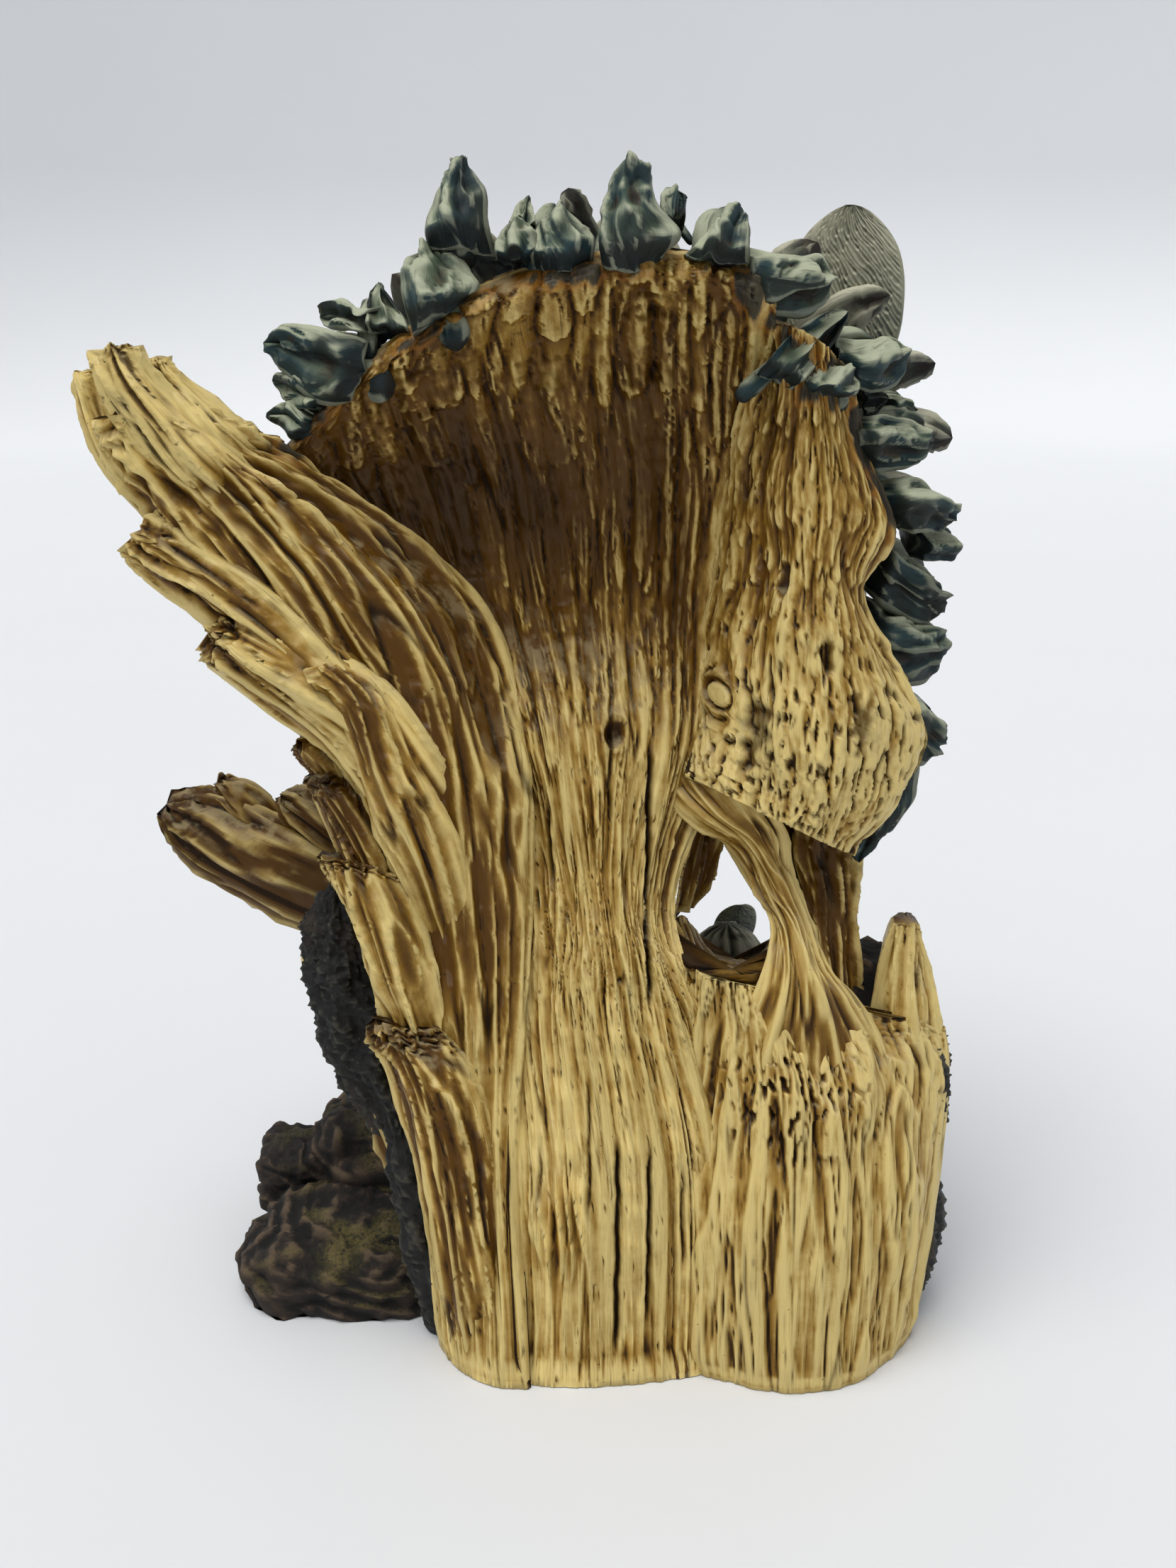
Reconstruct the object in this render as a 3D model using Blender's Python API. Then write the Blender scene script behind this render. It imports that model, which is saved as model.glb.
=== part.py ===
"""Cast resin sculpture of a wolf family in front of a split, hollow driftwood trunk.

The whole work is one hollow-backed casting that stands on its flat underside. +X is to the right and +Y away from
the viewer when the carved wood at the back is looked at, so the wolves face +Y. +Z is up, and the origin is the
middle of the underside of the trunk. Every form is given in millimetres of the work at its real height.
"""

import math

import bmesh
import bpy
import numpy as np
from mathutils import Matrix, Vector

# Driving sizes, in metres.
HEIGHT = 0.418  # underside to the tip of the tallest lock of the mane
DESIGN_HEIGHT_MM = 418.0  # the height at which the forms below are drawn
MM = HEIGHT / DESIGN_HEIGHT_MM
SKIN_GRID = 2.8 * MM  # size of the grid that joins the forms into one skin
FOOT_CUT = 60.0 * MM  # depth of the block that planes the underside flat
KEEP_SHARE = 0.066  # share of the skin's faces that is kept, with the flattest joined first

RIB_PITCH = 17.0  # the broad flutes of the split wood, in millimetres
RIB_DEPTH = 2.8
RIB_WANDER = 2.4

# A sheet of wood is a list of rows from its foot to its broken end. A row holds its left edge, middle and right edge.
FAN = [
    [(-62, -74, -6), (-19, -71, -6), (24, -67, -6)],
    [(-63, -58, 71), (-19, -67, 76), (22, -61, 72)],
    [(-66, -38, 129), (-27, -52, 135), (14, -42, 124)],
    [(-71, -18, 175), (-31, -36, 182), (9, -20, 173)],
    [(-83, -8, 225), (-35, -26, 230), (6, -14, 226)],
    [(-100, -12, 271), (-44, 2, 268), (10, -8, 270)],
    [(-120, -22, 310), (-49, 0, 318), (16, -12, 319)],
    [(-130, -32, 328), (-55, -18, 352), (20, -22, 352)],
    [(-134, -38, 336), (-54, -36, 377), (26, -32, 377)],
]
WING = [
    [(-86, -46, -6), (-72, -68, -6), (-50, -74, -6)],
    [(-92, -46, 70), (-76, -56, 76), (-53, -60, 78)],
    [(-104, -42, 131), (-84, -46, 133), (-56, -40, 131)],
    [(-118, -40, 186), (-90, -44, 188), (-61, -20, 179)],
    [(-133, -42, 233), (-98, -50, 242), (-66, -12, 232)],
    [(-155, -44, 275), (-115, -54, 283), (-81, -14, 280)],
    [(-178, -46, 309), (-140, -56, 318), (-103, -24, 313)],
    [(-184, -50, 334), (-164, -55, 348), (-134, -38, 332)],
]
LOBE = [
    [(-2, -10, 205), (38, -46, 201), (71, -24, 195)],
    [(-4, -6, 230), (38, -48, 240), (89, -18, 228)],
    [(-2, -2, 265), (38, -38, 271), (77, -16, 261)],
    [(2, 0, 303), (43, -28, 303), (76, -12, 296)],
    [(6, -8, 335), (41, -24, 334), (64, -10, 330)],
    [(10, -18, 370), (38, -28, 362), (60, -16, 345)],
]
ROOT = [
    [(2, -66, -6), (54, -72, -6), (96, -38, -6)],
    [(2, -64, 56), (53, -68, 58), (99, -36, 40)],
    [(2, -54, 96), (52, -60, 99), (103, -26, 82)],
    [(4, -44, 124), (48, -50, 130), (103, -18, 104)],
    [(4, -36, 144), (44, -36, 152), (97, -14, 118)],
]
BARK_FRONT = [
    [(-86, 18, -6), (-34, 58, -6), (12, 40, -6)],
    [(-86, 10, 70), (-40, 50, 72), (8, 36, 76)],
    [(-88, 0, 140), (-42, 44, 146), (4, 34, 150)],
    [(-92, -6, 200), (-42, 44, 206), (6, 38, 200)],
    [(-104, -4, 266), (-46, 34, 284), (8, 34, 266)],
]
# The sheets with their thickness at the foot and at the end. A negative one lies on the wolves' side.
SHEETS = {
    "fan": (FAN, 60, 34),
    "wing": (WING, 46, 14),
    "lobe": (LOBE, 22, 26),
    "root": (ROOT, 56, 8),
    "bark_front": (BARK_FRONT, -48, -20),
}

# A spar is (path, half width, half depth, bluntness of its far end): a split stick or plate of wood, or a stump.
SPARS = {
    "pillar": ([(54, -38, 106), (49, -26, 156), (36, -16, 184), (30, -16, 210)], 13, 10, 5.0),
    "pillar_foot": ([(44, -44, 92), (46, -38, 128), (48, -26, 158)], 17, 9, 2.6),
    "pillar_back": ([(64, -4, 100), (59, 0, 148), (56, 2, 204)], 12, 10, 5.0),
    "hole_arch": ([(-4, -12, 200), (26, -16, 197), (60, -10, 196)], 13, 10, 4.0),
    "post": ([(86, -20, 84), (87, -16, 128), (87, -16, 157)], 11, 8, 4.0),
    "low_plate": ([(-70, -60, 20), (-87, -54, 85), (-99, -50, 137)], 12, 8, 6.0),
    "mid_plate": ([(-72, -50, 90), (-94, -48, 146), (-112, -42, 190)], 15, 8, 6.0),
    "high_plate": ([(-86, -42, 162), (-106, -44, 200), (-119, -42, 228)], 10, 7, 6.0),
    "wing_tip_low": ([(-120, -46, 262), (-152, -49, 288), (-179, -46, 311)], 11, 8, 3.0),
    "wing_tip_mid": ([(-140, -54, 312), (-168, -54, 336), (-187, -50, 353)], 7, 7, 3.0),
    "wing_tip_high": ([(-130, -50, 308), (-155, -55, 340), (-172, -54, 364)], 10, 8, 4.0),
    "wing_tip_inner": ([(-118, -42, 306), (-142, -50, 332), (-158, -50, 353)], 8, 7, 2.6),
    "branch": ([(-88, -8, 146), (-118, 0, 160), (-158, 14, 174), (-192, 21, 192)], 18, 11, 3.0),
    "branch_nub": ([(-146, 14, 178), (-160, 18, 190), (-171, 20, 199)], 8, 7, 3.0),
    "branch_knuckle": ([(-112, 4, 172), (-130, 6, 188), (-145, 9, 198)], 9, 7, 3.0),
    "left_core": ([(-88, -20, 44), (-98, -16, 104), (-110, -12, 158)], 18, 14, 4.0),
    "bark_strip": ([(-96, -16, 66), (-114, -14, 110), (-123, -16, 146), (-124, -16, 174)], 11, 13, 5.0),
    "bark_rim": ([(-96, -4, 54), (-114, -4, 102), (-129, -4, 136), (-124, -4, 160)], 8, 8, 3.0),
    "bark_edge": ([(-84, -40, -4), (-90, -36, 44), (-104, -26, 96)], 10, 11, 4.0),
    "bark_right_high": ([(96, -18, 70), (98, -14, 96), (96, -8, 112)], 8, 14, 3.0),
    "bark_right_low": ([(90, -14, 2), (97, -12, 34), (96, -10, 62)], 10, 24, 3.0),
}

# A lock of the mane is (root, tip, half width, half depth): a tuft of hair that ends in a blunt curl.
LOCKS = [
    [(-116, -28, 336), (-133, -20, 347), 8, 8],
    [(-108, -30, 346), (-133, -24, 362), 11, 9],
    [(-96, -28, 354), (-138, -22, 367), 13, 10],
    [(-82, -24, 366), (-114, -10, 381), 10, 10],
    [(-62, -28, 374), (-84, -18, 390), 14, 12],
    [(-60, -22, 380), (-71, -14, 418), 14, 12],
    [(-50, -20, 384), (-49, -6, 404), 8, 9],
    [(-36, -26, 380), (-40, -14, 402), 9, 9],
    [(-15, -28, 378), (-19, -18, 419), 14, 13],
    [(-8, -20, 386), (-4, -8, 411), 7, 8],
    [(4, -28, 378), (20, -16, 404), 12, 10],
    [(20, -24, 374), (46, -16, 386), 13, 10],
    [(30, -26, 358), (57, -18, 376), 12, 9],
    [(50, -14, 352), (78, -8, 361), 12, 9],
    [(54, -12, 334), (84, -2, 340), 13, 10],
    [(62, 2, 342), (84, 10, 348), 8, 8],
    [(62, -10, 318), (91, 0, 331), 13, 10],
    [(66, -6, 306), (101, 4, 303), 13, 10],
    [(68, 2, 288), (102, 12, 286), 9, 8],
    [(60, 8, 268), (93, 18, 272), 15, 13],
    [(60, 8, 246), (92, 18, 246), 15, 12],
    [(66, -12, 240), (88, -8, 232), 12, 10],
    [(62, -14, 220), (83, -10, 211), 10, 9],
    [(54, -18, 204), (62, -26, 181), 9, 8],
    [(54, 0, 192), (63, 2, 160), 9, 9],
]
ROOT_SINK = 6.0  # how far a lock's root runs back into the body that carries it, in millimetres
LOCK_TAPER, LOCK_BLUNT = 0.32, 4.0

# The front mane is rings of locks round the big head: radius, depth, count, length, half width, and the angles
# in degrees at which the ring starts and ends.
MANE_CENTRE = (4.0, 0.0, 316.0)
MANE_RINGS = [
    (44, 56, 12, 36, 12, -62, 232),
    (60, 46, 15, 36, 12, -58, 228),
    (75, 32, 16, 36, 12, -50, 232),
    (89, 12, 9, 36, 12, 106, 222),
]
# The chest is rows of locks that hang below the chin: height, half spread, count, depth, length, half width.
CHEST_MIDDLE = -14.0
CHEST_ROWS = [
    (268, 34, 5, 62, 34, 10),
    (246, 30, 5, 62, 34, 10),
    (222, 24, 4, 58, 34, 10),
    (198, 14, 3, 50, 34, 9),
]
MANE_LEFT_STRETCH = 1.3  # the mane reaches further over the left of the fan
MANE_RISE = 0.86  # and less far upwards

# Rounded masses: (centre), (radii), squareness. Two is a ball, and more is a block with rounded edges.
MASSES = {
    "mane_body": ((-16, 28, 316), (88, 26, 58), 2),
    "neck": ((24, 28, 262), (50, 28, 60), 2),
    "chest": ((-18, 32, 238), (42, 28, 66), 2),
    "trunk_core": ((4, -12, 40), (84, 42, 72), 3),
    "right_core": ((70, -10, 44), (28, 34, 72), 3),
    "ledge_low": ((-124, -4, 6), (42, 29, 20), 3),
    "ledge_slope": ((-112, 14, 18), (46, 34, 16), 3),
    "ledge_block": ((-146, 30, 28), (17, 17, 15), 5),
    "ledge_top": ((-116, 30, 34), (24, 18, 20), 5),
    "ledge_back": ((-92, 44, 22), (50, 38, 30), 4),
    "foot_left": ((-40, 56, 10), (62, 42, 26), 4),
    "foot_right": ((48, 46, 8), (54, 46, 22), 4),
    "den_floor": ((30, 44, 20), (44, 40, 46), 3),
    "pup_right_body": ((22, 62, 56), (21, 22, 40), 2),
    "pup_right_chest": ((18, 76, 34), (17, 17, 28), 2),
    "pup_left_body": ((-54, 54, 50), (23, 24, 40), 2),
    "pup_left_chest": ((-50, 72, 30), (17, 17, 28), 2),
}

# A wolf is (middle of the skull, half width of the skull, turn to +X, tilt upwards, lean, ear length).
HEADS = {
    "sire": ((24, 52, 324), 44, 6, -12, 0, 1.2),
    "dam": ((34, 40, 216), 30, 50, 0, 0, 0.95),
    "pup_right": ((21, 66, 97), 19, -58, 4, -18, 0.95),
    "pup_left": ((-52, 66, 98), 19, 24, 8, 0, 0.9),
}
# What a head is made of, in half widths of the skull: (centre), (radii). Those off the middle are mirrored.
HEAD_MASSES = [
    ((0, 0, 0), (0.96, 0.84, 0.84)),
    ((0, 0.42, 0.16), (0.62, 0.56, 0.46)),
    ((0.7, 0.02, -0.42), (0.58, 0.5, 0.62)),
    ((0.36, 0.62, 0.2), (0.24, 0.24, 0.15)),
    ((0, 1.5, -0.26), (0.19, 0.15, 0.15)),
]
MUZZLE = ([(0, 0.4, -0.12), (0, 1.0, -0.28), (0, 1.56, -0.36)], 0.38, 0.31, 3.0)
JAW = ([(0, 0.25, -0.48), (0, 0.8, -0.6), (0, 1.28, -0.62)], 0.26, 0.14, 3.0)
EAR_FOOT, EAR_LEAN = (0.7, -0.1, 0.4), (0.26, -0.1, 1.2)
EAR_HALF_WIDTH, EAR_HALF_DEPTH, EAR_BLUNT = 0.5, 0.17, 4.0

ROUND, ALONG = 28, 20  # points round and along one form before the skin is laid
POLE = 0.001  # how near to its ends a form has its two end points


def clear_scene():
    for old in list(bpy.data.objects):
        bpy.data.objects.remove(old)


def spline(points, shares):
    """Points at the given shares of a smooth curve that passes through every one of points."""
    points = np.asarray(points, float)
    padded = np.concatenate([[2 * points[0] - points[1]], points, [2 * points[-1] - points[-2]]])
    place = np.clip(shares, 0, 1) * (len(points) - 1)
    first = np.minimum(place.astype(int), len(points) - 2)
    t = (place - first).reshape(-1, *[1] * (points.ndim - 1))
    p0, p1, p2, p3 = (padded[first + k] for k in range(4))
    return p1 + 0.5 * t * (p2 - p0 + t * (2 * p0 - 5 * p1 + 4 * p2 - p3 + t * (3 * (p1 - p2) + p3 - p0)))


def new_ball(around, along):
    """A ball, with the turn and the share of the way from foot to end of each of its points."""
    ball = bmesh.new()
    bmesh.ops.create_uvsphere(ball, u_segments=around, v_segments=along, radius=1.0)
    at = np.array([v.co for v in ball.verts])
    turn = np.arctan2(at[:, 1], at[:, 0]) % (2 * math.pi)
    ring = np.arccos(np.clip(-at[:, 2], -1, 1)) / math.pi
    return ball, at, turn, ring


def settle(whole, ball, at):
    """Moves the ball's points to their places in millimetres, and adds the ball to the whole."""
    for vert, point in zip(ball.verts, at):
        vert.co = Vector(point) * MM
    bmesh.ops.recalc_face_normals(ball, faces=ball.faces)
    form = bpy.data.meshes.new("form")
    ball.to_mesh(form)
    ball.free()
    whole.from_mesh(form)
    bpy.data.meshes.remove(form)


def flutes(across):
    """Depth of the broad flutes at a distance across the grain: round ribs with sharp valleys between them."""
    wander = RIB_WANDER * np.sin(across / (2 * RIB_PITCH) + 1.3)
    return RIB_DEPTH * (np.abs(np.sin(math.pi * (across + wander) / RIB_PITCH)) - 0.6)


def add_sheet(whole, rows, thick_foot, thick_end):
    """A slab of wood: its near face follows the rows, and its far face lies behind it by the thickness."""
    ball, _at, turn, ring = new_ball(2 * ROUND, 2 * ALONG)
    share = np.clip((ring * 2 * ALONG - 1) / (2 * ALONG - 2), 0, 1)
    behind = turn > math.pi
    across = np.where(behind, 2 - turn / math.pi, turn / math.pi)
    pole = (ring < POLE) | (ring > 1 - POLE)
    across[pole] = 0.5
    left, middle, right = (spline([row[k] for row in rows], share) for k in range(3))
    bend = 4 * across * (1 - across)
    face = left + (right - left) * across[:, None] + (middle - (left + right) / 2) * bend[:, None]
    width = np.linalg.norm(right - left, axis=1)
    face[:, 1] += np.where(behind, 0, flutes(across * width)) * np.sqrt(bend)
    thickness = thick_foot + (thick_end - thick_foot) * share
    fullness = (1 - np.abs(2 * across - 1) ** 3) ** 0.5
    face[:, 1] += np.where(pole, 0.5, behind) * thickness * fullness
    settle(whole, ball, face)


def add_spar(whole, path, half_width, half_depth, bluntness, facing=(0, -1, 0), frame=None, taper=0.0):
    """A round-edged stick along path. Its flat side faces the viewer, and its far end is blunt or pointed."""
    ball, _at, turn, ring = new_ball(ROUND, ALONG)
    centre = spline(path, ring)
    ahead = spline(path, np.minimum(ring + 0.02, 1)) - spline(path, np.maximum(ring - 0.02, 0))
    ahead /= np.linalg.norm(ahead, axis=1)[:, None]
    side = np.cross(ahead, facing)
    side /= np.linalg.norm(side, axis=1)[:, None]
    front = np.cross(side, ahead)
    swell = (1 - taper * ring) * (1 - ring**bluntness) ** 0.5 * (1 - (1 - ring) ** 6) ** 0.5
    at = (
        centre
        + side * (half_width * swell * np.cos(turn))[:, None]
        + front * (half_depth * swell * np.sin(turn))[:, None]
    )
    settle(whole, ball, at if frame is None else in_frame(at, frame))


def add_mass(whole, centre, radii, squareness=2, frame=None):
    """A ball, or a block with rounded edges."""
    ball, at, _turn, _ring = new_ball(ROUND, ALONG)
    reach = (np.abs(at) ** squareness).sum(axis=1) ** (1 / squareness)
    at = at / reach[:, None] * radii + centre
    settle(whole, ball, at if frame is None else in_frame(at, frame))


def in_frame(at, frame):
    return at @ np.array(frame.to_3x3()).T + np.array(frame.translation)


def add_lock(whole, root, tip, half_width, half_depth):
    """One tuft: it starts inside what carries it, bows out and ends in a blunt curl."""
    root, tip = Vector(root), Vector(tip)
    run = tip - root
    start = root - run.normalized() * ROOT_SINK
    lift = Vector((-run.z, 0, run.x)).normalized() * run.length * 0.1
    path = [start, root + lift * 0.6, root.lerp(tip, 0.6) + lift, tip]
    add_spar(whole, [tuple(p) for p in path], half_width, half_depth, LOCK_BLUNT, taper=LOCK_TAPER)


def add_front_mane(whole):
    """Rings of locks that spread from behind the big head, and rows that hang below its chin."""
    centre = Vector(MANE_CENTRE)
    for radius, depth, count, length, half_width, start, end in MANE_RINGS:
        for step in range(count):
            angle = math.radians(start + (end - start) * step / (count - 1))
            reach = MANE_LEFT_STRETCH if math.cos(angle) < 0 else 1.0
            out = Vector((math.cos(angle) * reach, 0, math.sin(angle) * MANE_RISE))
            ring = centre + Vector((0, depth, 0)) + out * radius
            run = out.normalized() * length
            add_lock(whole, ring - run * 0.4, ring + run * 0.6, half_width, 0.8 * half_width)
    for height, spread, count, depth, length, half_width in CHEST_ROWS:
        for step in range(count):
            x = CHEST_MIDDLE + spread * (2 * step / (count - 1) - 1)
            tip = (x + 0.2 * (x - CHEST_MIDDLE), depth, height - length)
            add_lock(whole, (x, depth - 6, height), tip, half_width, 0.8 * half_width)


def add_head(whole, middle, half_width, turn, tilt, lean, ear_length):
    """A wolf's head: skull, brow, cheeks, muzzle, jaw and two upright ears. The angles are in degrees."""
    frame = (
        Matrix.Translation(middle)
        @ Matrix.Rotation(math.radians(-turn), 4, "Z")
        @ Matrix.Rotation(math.radians(tilt), 4, "X")
        @ Matrix.Rotation(math.radians(lean), 4, "Y")
        @ Matrix.Scale(half_width, 4)
    )
    for centre, radii in HEAD_MASSES:
        for side in (1, -1) if centre[0] else (1,):
            add_mass(whole, (centre[0] * side, centre[1], centre[2]), radii, 2, frame)
    for path, width, depth, bluntness in (MUZZLE, JAW):
        add_spar(whole, path, width, depth, bluntness, (0, 0, 1), frame)
    for side in (1, -1):
        mirror = Vector((side, 1, 1))
        foot = Vector(EAR_FOOT) * mirror
        tip = foot + Vector(EAR_LEAN) * mirror * ear_length
        path = [tuple(foot), tuple(foot.lerp(tip, 0.5)), tuple(tip)]
        add_spar(whole, path, EAR_HALF_WIDTH, EAR_HALF_DEPTH, EAR_BLUNT, (0, -1, 0), frame)


def painted_resin():
    material = bpy.data.materials.new("painted_resin")
    material.use_nodes = True
    shader = material.node_tree.nodes["Principled BSDF"]
    shader.inputs["Base Color"].default_value = (0.36, 0.25, 0.09, 1)
    shader.inputs["Roughness"].default_value = 0.62
    shader.inputs["Metallic"].default_value = 0.0
    return material


def casting_forms():
    """Every form of the casting as one mesh of closed, overlapping bodies."""
    whole = bmesh.new()
    for rows, thick_foot, thick_end in SHEETS.values():
        add_sheet(whole, rows, thick_foot, thick_end)
    for path, half_width, half_depth, bluntness in SPARS.values():
        add_spar(whole, path, half_width, half_depth, bluntness)
    for root, tip, half_width, half_depth in LOCKS:
        add_lock(whole, root, tip, half_width, half_depth)
    add_front_mane(whole)
    for centre, radii, squareness in MASSES.values():
        add_mass(whole, centre, radii, squareness)
    for head in HEADS.values():
        add_head(whole, *head)
    mesh = bpy.data.meshes.new("wolf_family_casting")
    whole.to_mesh(mesh)
    whole.free()
    return mesh


def joined_skin(forms):
    """One closed skin round all the forms, with the sealed hollows between them filled."""
    holder = bpy.data.objects.new("forms", forms)
    bpy.context.scene.collection.objects.link(holder)
    skin = holder.modifiers.new("one_skin", "REMESH")
    skin.mode = "VOXEL"
    skin.voxel_size = SKIN_GRID
    bpy.context.view_layer.update()
    mesh = bpy.data.meshes.new_from_object(holder.evaluated_get(bpy.context.evaluated_depsgraph_get()))
    bpy.data.objects.remove(holder)
    bm = bmesh.new()
    bm.from_mesh(mesh)
    shells = connected_parts(bm)
    shells.sort(key=len)
    inner = [vert for shell in shells[:-1] for vert in shell]
    bmesh.ops.delete(bm, geom=inner, context="VERTS")
    bm.to_mesh(mesh)
    bm.free()
    return mesh


def connected_parts(bm):
    """The points of bm, sorted into those that edges join."""
    waiting = set(bm.verts)
    parts = []
    while waiting:
        part = {waiting.pop()}
        edge_of_it = list(part)
        while edge_of_it:
            vert = edge_of_it.pop()
            found = {e.other_vert(vert) for e in vert.link_edges} - part
            part |= found
            edge_of_it.extend(found)
        waiting -= part
        parts.append(part)
    return parts


def underside_cutter(reach):
    """A block below the ground plane. It planes the foot of the casting flat at z = 0."""
    bm = bmesh.new()
    bmesh.ops.create_cube(bm, size=1.0)
    bmesh.ops.scale(bm, vec=(reach, reach, FOOT_CUT), verts=bm.verts)
    bmesh.ops.translate(bm, vec=(0, 0, -FOOT_CUT / 2), verts=bm.verts)
    mesh = bpy.data.meshes.new("underside_cutter")
    bm.to_mesh(mesh)
    bm.free()
    cutter = bpy.data.objects.new("underside_cutter", mesh)
    bpy.context.scene.collection.objects.link(cutter)
    cutter.hide_render = True
    cutter.display_type = "WIRE"
    return cutter


def make_casting():
    casting = bpy.data.objects.new("wolf_family_casting", joined_skin(casting_forms()))
    bpy.context.scene.collection.objects.link(casting)
    casting.data.materials.append(painted_resin())
    thin = casting.modifiers.new("fewer_faces", "DECIMATE")
    thin.ratio = KEEP_SHARE
    plane = casting.modifiers.new("flat_underside", "BOOLEAN")
    plane.operation = "DIFFERENCE"
    plane.object = underside_cutter(2 * HEIGHT)
    return casting


clear_scene()
make_casting()
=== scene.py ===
import math

import bmesh
import bpy
import numpy as np
from mathutils import Matrix, Vector


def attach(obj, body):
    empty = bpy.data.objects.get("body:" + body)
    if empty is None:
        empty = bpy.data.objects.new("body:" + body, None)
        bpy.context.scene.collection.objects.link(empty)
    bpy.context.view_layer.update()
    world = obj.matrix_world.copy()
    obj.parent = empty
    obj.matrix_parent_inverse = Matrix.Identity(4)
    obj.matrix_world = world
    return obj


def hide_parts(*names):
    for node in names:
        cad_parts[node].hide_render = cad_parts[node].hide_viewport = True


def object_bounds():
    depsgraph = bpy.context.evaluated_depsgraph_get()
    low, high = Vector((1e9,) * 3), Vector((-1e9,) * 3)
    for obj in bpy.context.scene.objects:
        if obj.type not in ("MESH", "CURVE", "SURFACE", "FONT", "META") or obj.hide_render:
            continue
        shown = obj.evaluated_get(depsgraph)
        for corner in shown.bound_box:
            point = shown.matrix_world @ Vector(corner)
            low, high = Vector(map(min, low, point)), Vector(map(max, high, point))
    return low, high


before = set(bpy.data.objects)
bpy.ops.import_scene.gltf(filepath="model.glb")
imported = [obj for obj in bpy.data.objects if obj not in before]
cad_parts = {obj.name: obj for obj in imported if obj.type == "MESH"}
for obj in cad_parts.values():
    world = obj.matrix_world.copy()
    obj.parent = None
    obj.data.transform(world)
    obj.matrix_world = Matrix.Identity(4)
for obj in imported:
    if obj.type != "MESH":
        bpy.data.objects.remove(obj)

cad_low, cad_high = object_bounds()

# The hollow trunk, from its foot to the broken rim above the bowl. It is cast resin, carved as split driftwood:
# long rounded lengths that step over each other, with fine cracks and a knot hole. Brown wash and painted shade
# darken every crease and the bowl, and the high wood is wiped back to pale straw, partly a painted highlight.
# Blue-grey paint from the locks runs on to its rim.
DESIGN_HEIGHT = 417.7  # millimetres from the underside to the tallest lock
MM = (cad_high.z - cad_low.z) / DESIGN_HEIGHT
# A row of a slab is its left edge, its middle and its right edge in millimetres, and the rows go from foot to end.
TRUNK_ROWS = [
    [(-62, -70, 0), (-19, -73, 0), (30, -60, 0)],
    [(-63, -58, 71), (-19, -68, 76), (30, -54, 72)],
    [(-66, -38, 129), (-27, -54, 135), (18, -46, 120)],
    [(-69, -26, 155), (-29, -46, 160), (7, -43, 148)],
    [(-71, -18, 178), (-31, -37, 184), (2, -24, 172)],
    [(-83, -8, 225), (-35, -28, 230), (20, -10, 222)],
    [(-100, -12, 271), (-42, -2, 268), (24, 0, 270)],
    [(-117, -20, 304), (-47, -4, 318), (30, -2, 319)],
    [(-125, -28, 318), (-53, -20, 352), (30, -14, 352)],
    [(-128, -32, 326), (-54, -36, 375), (30, -30, 375)],
    [(-129, -24, 329), (-54, -26, 384), (30, -20, 384)],
]
TRUNK_THICK = (56, 26)  # at the foot and at the end
TRUNK_GRID = (244, 22, 290)  # points over the seen side, over the hidden side, and rows
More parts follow.
